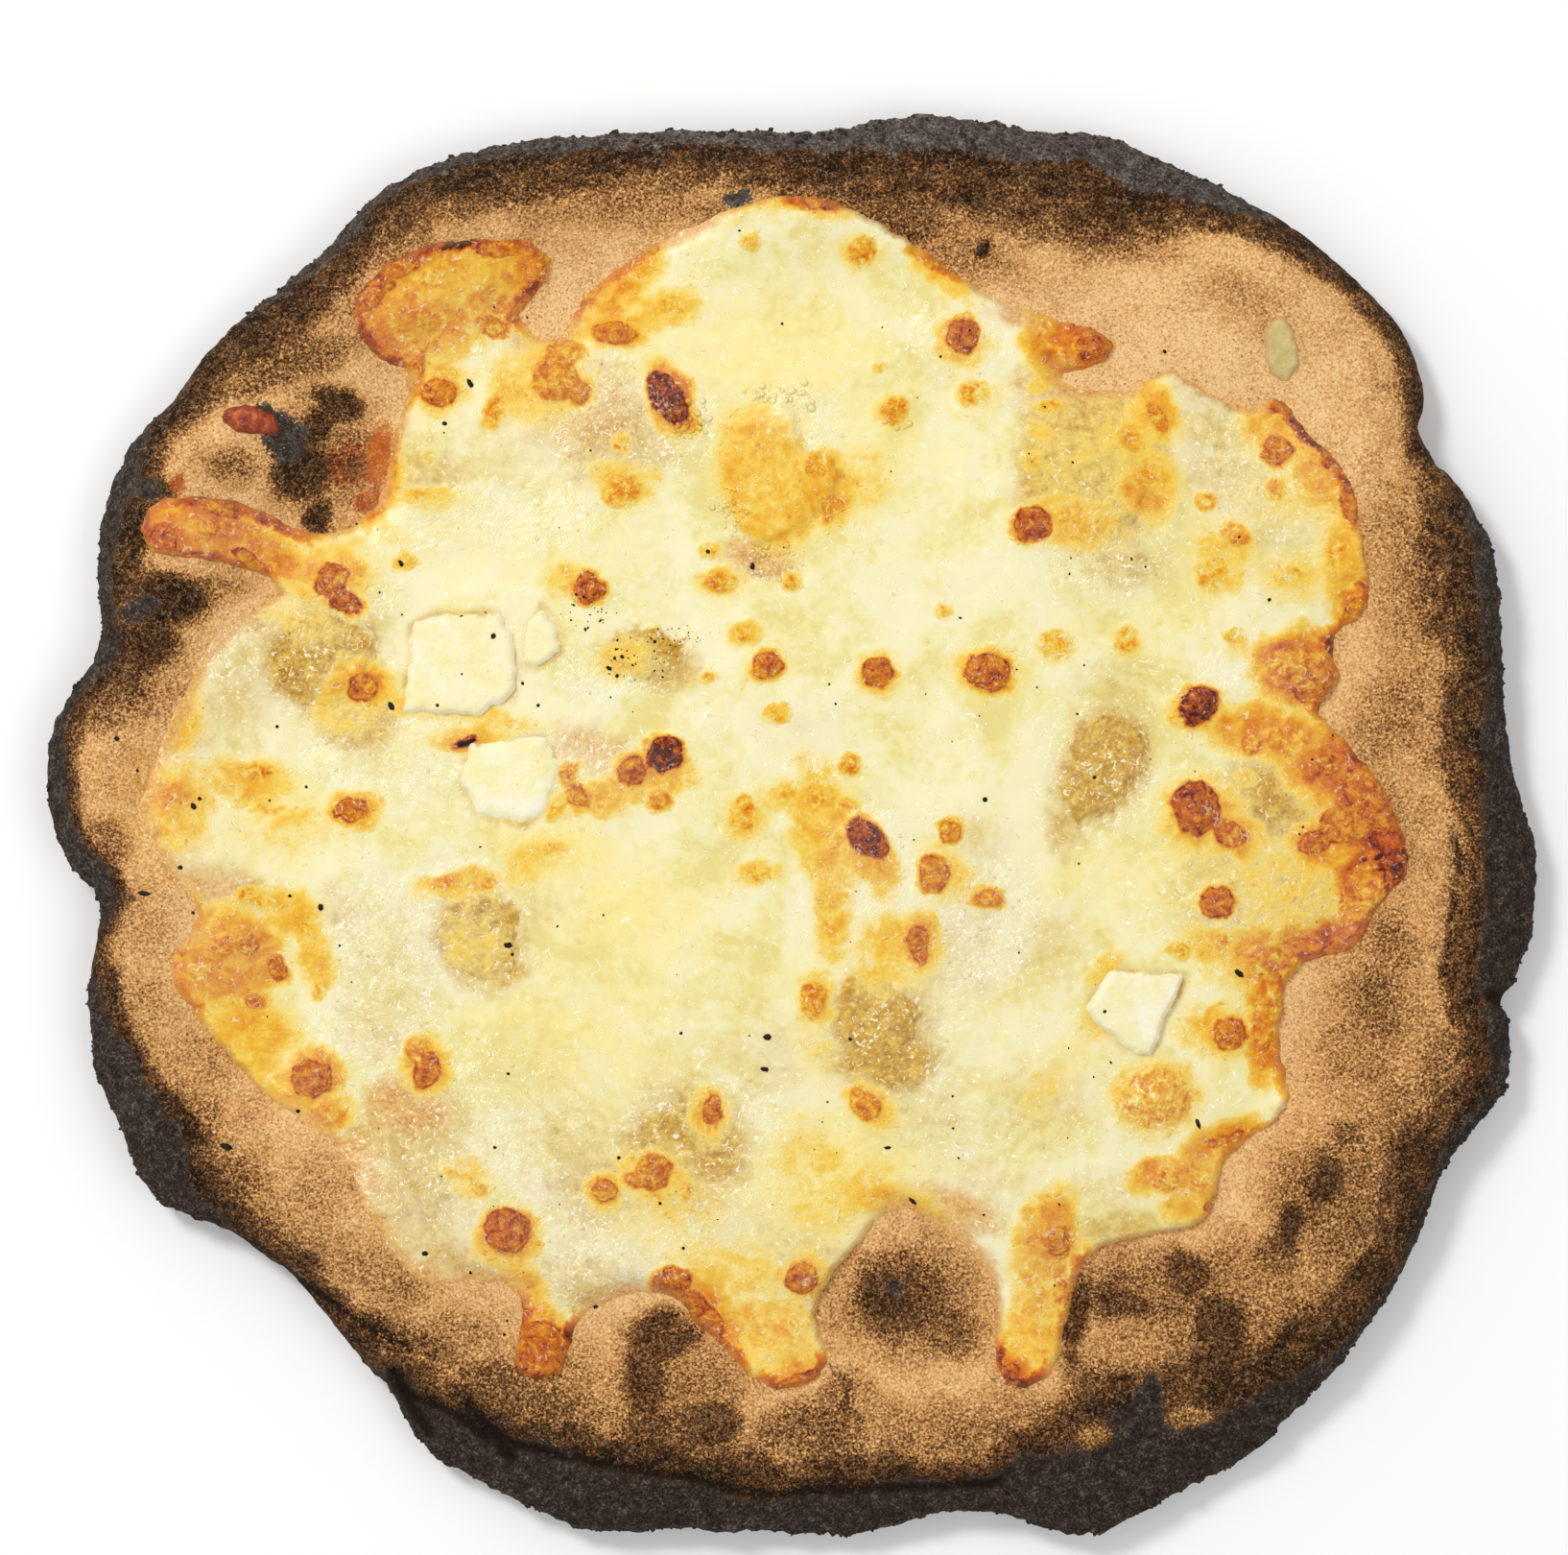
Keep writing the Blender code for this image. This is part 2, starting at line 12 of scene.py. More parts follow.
import bpy
import numpy as np
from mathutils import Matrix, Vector
from mathutils.bvhtree import BVHTree
from mathutils.geometry import delaunay_2d_cdt


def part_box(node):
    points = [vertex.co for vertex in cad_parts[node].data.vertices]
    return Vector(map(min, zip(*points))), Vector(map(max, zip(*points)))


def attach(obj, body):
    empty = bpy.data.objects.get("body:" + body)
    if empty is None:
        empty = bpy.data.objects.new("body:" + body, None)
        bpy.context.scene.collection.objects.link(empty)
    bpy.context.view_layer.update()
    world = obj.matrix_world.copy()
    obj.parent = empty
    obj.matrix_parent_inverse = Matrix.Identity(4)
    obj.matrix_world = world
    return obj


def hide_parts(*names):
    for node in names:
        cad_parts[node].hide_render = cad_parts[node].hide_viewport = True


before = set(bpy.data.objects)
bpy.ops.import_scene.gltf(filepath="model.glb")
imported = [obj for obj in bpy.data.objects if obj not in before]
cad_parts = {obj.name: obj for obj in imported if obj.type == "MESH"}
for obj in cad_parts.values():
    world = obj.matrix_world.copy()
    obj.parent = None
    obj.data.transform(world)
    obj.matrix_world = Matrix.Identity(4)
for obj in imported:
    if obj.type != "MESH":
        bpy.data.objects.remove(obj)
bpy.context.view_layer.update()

MM = 0.001
PIXEL = 0.2                         # millimetres of the pizza for one pixel of the photograph
CENTRE_PIXEL = (825.4, 857.9)       # the frame's origin in the photograph
PHOTO_SIZE = (1634, 1620)

# ---------------------------------------------------------------- places read from the photograph
#
# A patch is an ellipse: x, y, half width, half height in pixels, turn in degrees clockwise, and what
# each table adds. Levels of baking and frying go from 0, pale, to 1, nearly black.

# Rim: direction in degrees anticlockwise from +X, width of the charred band and reach of the
# browning, both in mm from the outer edge
RIM_BAKE = (
    (-176, 7, 10), (-170, .3, 5.5), (-165, 4, 10.5), (-160, 10.6, 14), (-156, 12, 17), (-152, 14.5, 20),
    (-148, 8, 16), (-144, 1, 9), (-138, 1, 8), (-132, 1, 8), (-127, 2, 10), (-123, 6.7, 16),
    (-119, 14.5, 21), (-115, 12, 18), (-110, 14.5, 22), (-104, 14.5, 23), (-98, 10.6, 25), (-92, 8, 18),
    (-85, 10.6, 19), (-80, 9.3, 15.5), (-76, 6.7, 14), (-73, 9.3, 16), (-70, 18, 25), (-66, 20, 32),
    (-62, 24, 33), (-58, 20, 31), (-55, 13, 31), (-50, 9, 29), (-45, 4, 21), (-40, 3, 14), (-35, 2, 13),
    (-30, 3, 17), (-25, 3.5, 15), (-18, 5, 15), (-15, 6, 16), (-12, 9, 18), (-8, 11, 20), (-4, 10, 20),
    (0, 8, 17), (5, 6.7, 17), (10, 5.4, 17), (14, 5.4, 15), (17, 6, 20), (20, 6, 22), (23, 5, 20),
    (26, 2, 13), (29, 1, 9), (33, .7, 7), (40, .7, 7), (47, .7, 7), (51, 1.5, 8), (55, 4.5, 12),
    (58, 7.5, 19), (62, 8.8, 26), (66, 8.5, 26), (70, 8, 24), (75, 9.3, 22), (80, 9.3, 25), (86, 6, 18),
    (90, 5, 16), (95, 4, 14), (100, 4, 14), (106, 4, 15), (110, 4, 17), (115, 4, 16), (120, 3.5, 15),
    (128, 3, 12), (133, 2.2, 14), (138, 1.6, 14), (143, 1, 11), (148, 1.6, 9), (152, 6, 12), (156, 6, 15),
    (160, 5, 15), (166, 5, 13), (170, 2.5, 9), (175, 5.5, 9),
)

# Browning that is left inside the band: direction in degrees, level beside the band
RIM_TAIL = (
    (-180, .26), (-150, .34), (-130, .36), (-110, .3), (-90, .36), (-70, .42), (-50, .42), (-30, .34),
    (0, .32), (30, .28), (50, .16), (75, .22), (100, .2), (125, .2), (145, .26), (165, .22), (180, .26),
)

# How pale the char is, from pale ash and from painted light on the side that faces the lamp: direction in
# degrees, share of pale ash and painted light
ASH_AND_LIGHT = (
    (-180, .25), (-140, .15), (-90, .1), (-40, .05), (0, .1), (30, .35), (60, .8), (85, 1), (105, .85),
    (130, .45), (160, .25), (180, .25),
)

# Patches of the dough: ellipse, baking, softness
DOUGH_PATCHES = (
    (300, 385, 80, 24, -22, .6, .7), (354, 424, 26, 18, 15, .84, .5), (330, 448, 17, 26, 35, .84, .5),
    (318, 492, 36, 30, -10, .86, .5), (332, 536, 18, 20, 0, .88, .5), (335, 474, 60, 70, 0, .46, .7),
    (250, 486, 30, 24, 0, .5, .8), (222, 400, 70, 24, -35, .44, .7), (178, 628, 48, 32, -12, .9, .5),
    (140, 560, 26, 52, 0, .88, .6), (160, 676, 40, 30, -30, .86, .6), (130, 700, 40, 44, 0, .74, .7),
    (165, 512, 22, 16, 0, .9, .5), (205, 610, 50, 30, -20, .5, .8), (235, 600, 44, 22, 20, .3, .9),
    (150, 700, 60, 60, 0, .42, .9), (692, 1394, 44, 27, 0, .76, .45), (672, 1436, 28, 48, 0, .74, .5),
    (738, 1478, 36, 28, 0, .76, .5), (695, 1486, 66, 28, 0, .68, .6), (600, 1470, 70, 26, 0, .5, .8),
    (700, 1440, 90, 60, 0, .42, .8), (938, 1352, 62, 54, 0, .66, .5), (924, 1350, 36, 38, 0, .8, .6),
    (990, 1385, 40, 34, 0, .6, .7), (945, 1355, 92, 70, 0, .4, .5), (885, 1460, 38, 34, 20, .52, .6),
    (850, 1490, 70, 34, 0, .6, .7), (1236, 1332, 34, 24, 30, .7, .5), (1268, 1378, 34, 36, 20, .8, .5),
    (1172, 1356, 40, 20, 5, .72, .5), (1122, 1372, 14, 40, 10, .8, .5), (1112, 1424, 12, 34, 15, .8, .6),
    (1252, 1422, 30, 26, 0, .76, .6), (1312, 1412, 44, 22, 0, .72, .6), (1205, 1350, 96, 50, 10, .5, .6),
    (1290, 1400, 80, 44, 0, .56, .7), (1374, 1226, 32, 26, -20, .8, .6), (1342, 1272, 17, 34, 12, .82, .6),
    (1400, 1180, 26, 20, 0, .6, .7), (1372, 1240, 60, 56, -20, .54, .7), (1330, 1300, 30, 26, 0, .62, .7),
    (1420, 1300, 60, 90, 20, .38, .8), (1340, 1350, 60, 70, 0, .42, .8), (1450, 1180, 50, 90, 10, .46, .8),
    (1432, 1040, 34, 56, 0, .5, .7), (1450, 985, 30, 40, 0, .5, .8), (1440, 1030, 60, 100, 0, .38, .8),
    (1430, 1140, 50, 60, 0, .36, .9), (1492, 600, 24, 44, 0, .66, .6), (1484, 580, 18, 24, 0, .76, .6),
    (1480, 600, 50, 80, 0, .42, .8), (1450, 740, 44, 70, 20, .42, .8), (1455, 560, 50, 60, 0, .34, .9),
    (1460, 860, 50, 90, 0, .3, .9), (1530, 700, 40, 110, 0, .5, .8), (1470, 660, 50, 60, 0, .36, .9),
    (315, 1305, 34, 20, 30, .72, .6), (285, 1280, 30, 18, 40, .66, .7), (300, 1290, 80, 40, 35, .46, .8),
    (395, 1385, 56, 22, 30, .66, .7), (440, 1400, 60, 26, 20, .6, .8), (520, 1440, 70, 30, 20, .6, .8),
    (330, 1250, 60, 60, 0, .32, .9), (470, 1385, 60, 26, 10, .4, .8), (600, 1440, 60, 50, 0, .36, .9),
    (200, 1170, 50, 70, -40, .46, .8), (240, 1230, 50, 70, -40, .5, .8), (220, 1110, 30, 60, -30, .3, .9),
    (130, 800, 46, 70, 0, .24, .9), (105, 720, 44, 50, 0, .56, .8), (112, 880, 34, 36, 0, .5, .8),
    (140, 960, 50, 50, 0, .32, .9), (150, 1060, 40, 60, -10, .34, .9), (1020, 258, 8, 13, 20, .9, .5),
    (1120, 245, 100, 14, 14, .52, .8), (930, 228, 80, 30, 10, .6, .7), (1000, 262, 80, 28, 20, .42, .9),
    (640, 215, 180, 26, 0, .42, .9), (430, 246, 70, 22, -40, .46, .8), (350, 320, 50, 50, 0, .34, .9),
    (1400, 400, 60, 60, 0, .09, .9), (1300, 320, 90, 30, 30, .24, .9), (1500, 1120, 40, 90, 10, .54, .9),
    (1000, 1490, 160, 40, 0, .44, .9), (1340, 1420, 40, 30, 0, .5, .8), (1095, 1512, 62, 34, -24, .76, .6),
    (1200, 1440, 130, 60, -14, .6, .7), (1400, 1250, 80, 90, 20, .5, .7), (1290, 1330, 70, 50, 0, .42, .8),
    (1245, 1320, 34, 16, 35, .7, .6), (560, 1460, 90, 34, 15, .58, .8), (1150, 1350, 40, 14, 0, .6, .7),
    (1420, 1100, 60, 70, 0, .4, .9), (400, 1330, 70, 40, 35, .4, .9),
)

# Thin fried film of cheese on the dough: ellipse, frying, strength
FILMS = (
    (366, 486, 26, 27, 0, .93, .6), (395, 474, 15, 34, 12, .74, .75), (384, 520, 20, 13, -30, .82, .7),
    (190, 506, 8, 10, 0, .84, .8), (255, 985, 60, 60, 0, .4, .2), (1420, 900, 44, 80, 0, .5, .15),
    (160, 830, 40, 70, 0, .42, .3), (170, 900, 30, 30, 0, .42, .25), (440, 240, 60, 16, -30, .5, .15),
    (1058, 1440, 14, 22, 20, .9, .4),
)

# Soft char on the dough that isn't part of the rim's band: ellipse
CHAR_PATCHES = (
    (300, 458, 23, 26, -30), (160, 512, 14, 13, 0), (150, 636, 24, 12, -20), (282, 432, 12, 8, 30),
    (768, 211, 17, 8, 0), (775, 206, 8, 7, 0), (932, 1340, 8, 7, 0), (1563, 880, 26, 90, 0),
    (1192, 1462, 16, 34, 12),
)

# Paler places within the browning: ellipse, baking
PALE_PATCHES = (
    (1138, 1490, 18, 14, -20, .5), (1238, 1470, 26, 14, -10, .52), (1176, 1404, 42, 17, -8, .34),
    (1384, 1280, 20, 14, -30, .48), (206, 588, 46, 11, 8, .16), (905, 1466, 22, 14, 0, .34),
    (1315, 1375, 24, 14, -50, .44), (250, 445, 40, 20, -20, .1), (1088, 1432, 26, 22, -40, .16),
)

# Grooves of the dough, sunk into its relief and darkened with painted shade: points, half width in pixels,
# depth in mm
GROOVES = (
    (((408, 1426), (428, 1452), (470, 1466), (505, 1490), (560, 1506), (640, 1522), (730, 1538),
      (790, 1552), (860, 1548), (960, 1546), (1040, 1540)), 7, 1.3),
    (((413, 1436), (430, 1466), (447, 1490)), 9, 1.8),
    (((490, 1462), (515, 1488), (534, 1514)), 9, 1.6),
    (((1508, 862), (1514, 890), (1510, 930), (1506, 975), (1500, 1010)), 7, 1),
    (((1483, 440), (1492, 458), (1503, 480)), 7, 1.4),
    (((1548, 1035), (1575, 1048), (1600, 1052)), 8, 1.2),
    (((868, 1424), (884, 1440), (880, 1462), (900, 1478)), 6, .9),
    (((300, 1320), (340, 1350), (380, 1375), (430, 1400)), 7, .8),
)

# Fried bubbles: ellipse, darkness (0.3 golden, 1 nearly black)
BLISTERS = (
    (1003, 350, 17, 19, 0, .86), (897, 263, 14, 14, 0, .55), (782, 255, 9, 8, 0, .45),
    (1014, 410, 14, 12, 0, .48), (932, 428, 14, 14, 0, .55), (915, 382, 8, 6, 0, .25),
    (700, 318, 12, 9, 0, .42), (696, 415, 17, 31, -28, .95), (458, 410, 20, 15, 0, .72),
    (434, 386, 9, 24, 20, .66), (515, 428, 9, 19, 20, .56), (641, 348, 25, 12, 5, .72),
    (578, 395, 24, 24, 0, .64), (604, 408, 12, 14, 0, .68), (588, 366, 20, 12, 10, .62),
    (648, 512, 20, 16, -10, .52), (648, 463, 11, 11, 0, .42), (433, 516, 10, 9, 0, .44),
    (448, 478, 6, 7, 0, .38), (614, 614, 17, 16, 0, .86), (740, 574, 10, 7, 0, .45),
    (751, 606, 16, 12, 0, .55), (824, 606, 8, 8, 0, .55), (775, 660, 11, 10, 0, .5),
    (800, 693, 16, 14, 0, .78), (738, 705, 9, 7, 0, .35), (915, 700, 17, 15, 0, .8),
    (1029, 700, 26, 19, 10, .84), (983, 635, 8, 8, 0, .22), (810, 743, 13, 10, 0, .5),
    (885, 797, 11, 11, 0, .55), (865, 530, 9, 17, 15, .6), (851, 485, 12, 14, 0, .5),
    (1075, 546, 21, 19, 0, .86), (1073, 482, 9, 9, 0, .42), (1112, 541, 10, 8, 0, .5),
    (1140, 362, 18, 24, 0, .84), (1112, 374, 12, 9, 0, .6), (1086, 346, 8, 15, -20, .56),
    (1255, 523, 10, 10, 0, .52), (1287, 558, 15, 10, 20, .56), (1262, 600, 18, 16, 0, .34),
    (1345, 600, 9, 8, 0, .42), (1390, 575, 11, 9, 0, .5), (1328, 512, 10, 10, 0, .5),
    (1328, 470, 17, 16, 0, .74), (1333, 425, 14, 9, 0, .82), (1383, 482, 9, 16, -30, .8),
    (1403, 530, 9, 22, -15, .78), (1412, 640, 13, 20, 10, .72), (1284, 663, 10, 9, 0, .45),
    (1370, 705, 29, 30, 0, .72), (1345, 690, 24, 16, 0, .6), (1098, 672, 17, 15, 0, .4),
    (1172, 667, 12, 15, 0, .42), (1248, 735, 22, 18, -35, .95), (1246, 842, 25, 29, 0, .9),
    (1280, 868, 22, 14, 30, .72), (1303, 775, 10, 10, 0, .64), (1382, 797, 13, 11, 30, .78),
    (1340, 772, 24, 14, 10, .55), (1298, 812, 9, 8, 0, .48), (1368, 878, 17, 12, 0, .8),
    (1452, 905, 17, 18, 0, .93), (1466, 868, 7, 8, 0, .8), (1267, 940, 18, 17, 0, .84),
    (1228, 990, 10, 9, 0, .5), (1273, 982, 8, 8, 0, .56), (1281, 1077, 18, 17, 0, .74),
    (957, 982, 12, 22, 0, .8), (904, 874, 17, 26, -45, .93), (990, 866, 13, 13, 0, .66),
    (973, 910, 16, 20, 0, .7), (1030, 937, 17, 10, 5, .64), (848, 1040, 13, 18, 0, .6),
    (775, 848, 13, 18, 0, .5), (790, 910, 13, 8, -10, .52), (820, 828, 9, 7, 0, .5),
    (855, 833, 9, 7, 0, .48), (885, 838, 9, 7, 0, .5), (693, 785, 20, 19, 0, .95),
    (659, 803, 16, 15, 10, .82), (688, 833, 11, 9, 0, .62), (603, 828, 13, 11, 20, .66),
    (592, 806, 8, 13, 20, .6), (577, 843, 7, 12, 30, .5), (368, 843, 19, 13, 0, .78),
    (346, 605, 20, 17, -40, .82), (360, 628, 18, 12, 15, .9), (378, 716, 16, 15, 20, .78),
    (486, 774, 14, 5, -15, .95), (327, 1122, 22, 20, 0, .82), (343, 1160, 18, 10, 0, .6),
    (445, 1114, 15, 20, 10, .84), (436, 1094, 12, 12, 0, .6), (475, 1216, 11, 8, 0, .4),
    (500, 1238, 8, 7, 0, .5), (530, 1281, 25, 24, 20, .84), (682, 1220, 18, 20, 30, .7),
    (664, 1228, 12, 10, 0, .66), (630, 1240, 13, 14, 0, .7), (715, 1238, 6, 8, 0, .55),
    (742, 1156, 10, 16, 0, .78), (902, 1150, 20, 14, 50, .62), (835, 1332, 17, 18, 0, .8),
    (700, 1338, 22, 18, -20, .86), (732, 1368, 34, 13, 50, .84), (836, 1438, 25, 11, -15, .84),
    (1050, 1430, 12, 18, 25, .88), (1103, 1294, 12, 17, 0, .7), (1106, 1345, 9, 30, 0, .58),
    (1074, 1262, 9, 7, 0, .5), (1205, 1143, 36, 32, 0, .5), (1280, 1186, 26, 6, -15, .78),
    (1262, 1259, 9, 9, 0, .82), (1215, 1228, 16, 11, 10, .58), (1250, 1232, 12, 12, 0, .5),
    (562, 1408, 31, 34, 0, .82), (562, 1430, 26, 17, -10, .95), (676, 258, 12, 9, 0, .72),
    (646, 268, 9, 16, 35, .66), (614, 302, 10, 14, 35, .66), (850, 214, 24, 8, 10, .74),
    (980, 276, 10, 6, 30, .68), (237, 985, 13, 10, 0, .64), (262, 985, 11, 13, 0, .68),
    (290, 1008, 11, 14, -30, .74), (268, 1042, 12, 8, 0, .66), (196, 985, 6, 18, 30, .6),
    (320, 972, 9, 9, 0, .5), (334, 1030, 7, 11, 20, .5), (265, 935, 18, 10, 10, .45),
    (466, 918, 14, 6, -15, .56), (507, 919, 8, 7, 0, .58), (268, 805, 18, 8, 0, .56),
    (281, 843, 12, 5, 0, .52), (176, 568, 15, 22, 0, .86), (235, 532, 24, 8, 10, .8),
    (262, 586, 22, 9, 40, .78), (222, 552, 12, 8, 0, .64), (395, 310, 12, 26, 45, .74),
    (420, 285, 26, 9, -30, .76), (450, 335, 22, 12, 0, .58), (512, 340, 20, 10, 25, .66),
    (520, 262, 26, 8, 0, .72), (568, 282, 9, 24, 0, .74), (545, 322, 18, 8, -40, .72),
    (455, 295, 14, 8, 0, .5), (388, 484, 15, 34, 25, .9), (372, 525, 26, 8, -25, .75),
    (402, 468, 10, 22, 20, .7), (1205, 436, 8, 18, -30, .62), (1197, 500, 14, 10, -20, .5),
    (1330, 1005, 30, 18, 20, .62), (1322, 1060, 16, 38, 10, .62), (1400, 985, 34, 9, -20, .86),
    (1430, 830, 26, 40, -35, .76), (1400, 860, 26, 20, 0, .72), (1420, 930, 22, 34, 20, .66),
    (1095, 425, 18, 8, 0, .4), (240, 640, 10, 8, 0, .3), (1226, 748, 8, 6, 0, .4),
)

# Fried areas of the cheese: ellipse, frying, softness
FRIED = (
    (470, 305, 112, 52, -8, .38, .45), (430, 270, 60, 26, -35, .5, .5), (545, 280, 34, 40, 0, .5, .5),
    (402, 366, 40, 24, 20, .62, .6), (520, 318, 60, 16, 5, .5, .7), (430, 336, 74, 34, 10, .5, .5),
    (460, 400, 34, 36, 0, .36, .7), (430, 395, 14, 34, 15, .55, .5), (215, 555, 84, 36, 14, .53, .4),
    (170, 560, 26, 34, 0, .68, .5), (285, 580, 34, 24, 40, .5, .6), (365, 505, 60, 44, -30, .5, .6),
    (385, 560, 60, 24, 0, .22, .9), (340, 600, 50, 34, 0, .42, .7), (300, 640, 70, 24, 20, .2, .8),
    (420, 585, 16, 12, 0, .38, .8), (360, 735, 40, 34, 20, .26, .7), (378, 712, 34, 28, 0, .5, .7),
    (190, 740, 24, 60, 0, .36, .8), (180, 840, 44, 50, 0, .42, .8), (255, 815, 60, 26, 0, .34, .8),
    (300, 860, 70, 40, 0, .26, .9), (370, 845, 34, 22, 0, .4, .7), (240, 1000, 62, 56, 0, .46, .4),
    (300, 950, 40, 30, 0, .32, .6), (330, 1000, 20, 40, 0, .36, .6), (260, 1080, 60, 50, 40, .38, .7),
    (310, 1130, 60, 40, 30, .36, .7), (328, 1120, 34, 30, 0, .5, .6), (345, 1160, 30, 22, 0, .42, .6),
    (445, 1110, 26, 32, 0, .46, .7), (490, 1225, 34, 22, 20, .3, .8), (532, 1290, 34, 36, 0, .46, .7),
    (545, 1345, 30, 30, 0, .4, .6), (560, 1385, 34, 34, 0, .46, .5), (650, 690, 40, 26, 0, .3, .8),
    (592, 606, 30, 22, 0, .3, .8), (650, 500, 40, 24, 15, .34, .8), (560, 400, 60, 44, 0, .34, .8),
    (640, 340, 60, 30, -10, .36, .8), (645, 290, 56, 34, -45, .46, .5), (690, 320, 40, 24, 0, .32, .8),
    (700, 415, 26, 42, -25, .5, .6), (800, 500, 56, 84, -20, .34, .35), (860, 510, 36, 40, 20, .42, .6),
    (820, 560, 44, 18, -20, .26, .6), (890, 500, 44, 40, 0, .28, .9), (790, 215, 60, 20, -8, .3, .8),
    (850, 222, 46, 10, 5, .32, .8), (980, 285, 50, 16, 35, .34, .8), (897, 265, 30, 22, 0, .28, .9),
    (1000, 355, 34, 30, 0, .34, .8), (1014, 412, 30, 22, 0, .26, .9), (932, 430, 24, 22, 0, .28, .9),
    (1115, 362, 52, 32, 0, .58, .5), (1085, 345, 16, 34, -10, .42, .7), (1140, 480, 84, 84, 20, .2, .6),
    (1120, 545, 60, 34, 10, .34, .7), (1195, 505, 34, 44, 0, .4, .7), (1085, 400, 16, 12, 0, .34, .7),
    (1085, 450, 14, 14, 0, .34, .7), (1180, 455, 18, 20, 0, .42, .7), (1205, 430, 26, 40, -30, .4, .6),
    (1270, 580, 40, 50, 0, .3, .8), (1335, 448, 44, 34, 0, .38, .7), (1375, 500, 34, 60, -25, .42, .7),
    (1400, 580, 30, 60, 0, .38, .7), (1330, 520, 60, 40, 0, .22, .9), (1345, 600, 40, 30, 0, .26, .9),
    (1415, 640, 26, 34, 0, .6, .6), (1356, 696, 54, 42, 0, .68, .5), (1300, 680, 34, 20, 0, .22, .8),
    (1320, 765, 66, 30, 10, .5, .6), (1390, 800, 56, 44, 30, .64, .6), (1435, 850, 46, 66, -20, .86, .5),
    (1435, 920, 44, 64, 10, .8, .5), (1385, 880, 44, 30, 0, .5, .6), (1360, 930, 90, 70, 0, .26, .7),
    (1390, 980, 60, 26, -15, .66, .6), (1320, 1000, 60, 40, 0, .42, .7), (1325, 1060, 26, 70, 8, .66, .5),
    (1250, 850, 44, 44, 0, .4, .8), (1285, 870, 40, 24, 20, .44, .7), (1250, 740, 34, 28, 0, .38, .8),
    (1240, 940, 50, 40, 0, .14, .9), (1270, 985, 50, 24, 0, .34, .8), (1270, 1075, 50, 34, 0, .32, .8),
    (1205, 1143, 52, 44, 0, .34, .6), (1100, 672, 26, 22, 0, .24, .9), (1175, 668, 22, 22, 0, .26, .9),
    (1030, 702, 38, 30, 0, .36, .8), (916, 702, 28, 26, 0, .34, .8), (800, 695, 26, 22, 0, .3, .8),
    (775, 662, 18, 16, 0, .3, .8), (752, 606, 28, 20, 0, .3, .8), (886, 800, 20, 18, 0, .28, .8),
    (860, 860, 36, 70, -12, .38, .6), (868, 940, 24, 70, 0, .34, .6), (905, 895, 26, 46, -30, .42, .6),
    (925, 990, 40, 50, 30, .3, .7), (960, 980, 22, 34, 0, .4, .7), (985, 905, 34, 44, -30, .26, .7),
    (775, 850, 24, 28, 0, .32, .8), (790, 910, 30, 16, 0, .28, .8), (835, 830, 60, 20, 0, .3, .8),
    (848, 1040, 22, 30, 0, .34, .8), (850, 1090, 24, 50, -20, .22, .9), (905, 1150, 34, 24, 40, .34, .7),
    (690, 806, 38, 32, 0, .38, .7), (630, 830, 60, 22, -10, .38, .7), (560, 890, 50, 26, -20, .28, .8),
    (480, 920, 50, 18, -10, .34, .7), (540, 900, 40, 44, 0, .22, .9), (500, 985, 40, 44, 0, .22, .7),
    (680, 1225, 44, 32, 0, .34, .8), (630, 1240, 22, 22, 0, .4, .8), (740, 1160, 20, 30, 0, .4, .8),
    (700, 1260, 80, 40, 0, .22, .9), (760, 1330, 80, 50, 10, .26, .7), (800, 1390, 60, 50, 0, .36, .7),
    (740, 1370, 60, 30, 45, .46, .6), (835, 1430, 40, 22, -10, .48, .6), (835, 1330, 30, 30, 0, .38, .8),
    (880, 1240, 90, 50, -10, .26, .9), (930, 1250, 60, 24, 20, .34, .8), (850, 1210, 60, 60, 0, .24, .9),
    (1090, 1290, 36, 60, 15, .42, .5), (1080, 1380, 34, 60, 15, .36, .5), (1055, 1430, 30, 26, 20, .6, .6),
    (1220, 1222, 54, 22, -10, .44, .5), (1270, 1190, 50, 24, -25, .46, .6), (1245, 1250, 36, 30, 0, .4, .7),
    (1145, 1065, 26, 40, 60, .24, .8), (1150, 1010, 30, 14, -45, .3, .7), (455, 745, 56, 10, 10, .2, .7),
    (415, 735, 16, 12, 0, .34, .8), (490, 770, 44, 14, -8, .34, .7), (1285, 1218, 56, 34, 0, .32, .8),
    (1090, 1130, 20, 44, 30, .22, .8), (520, 750, 60, 12, 5, .26, .8), (440, 520, 60, 14, 0, .26, .8),
)

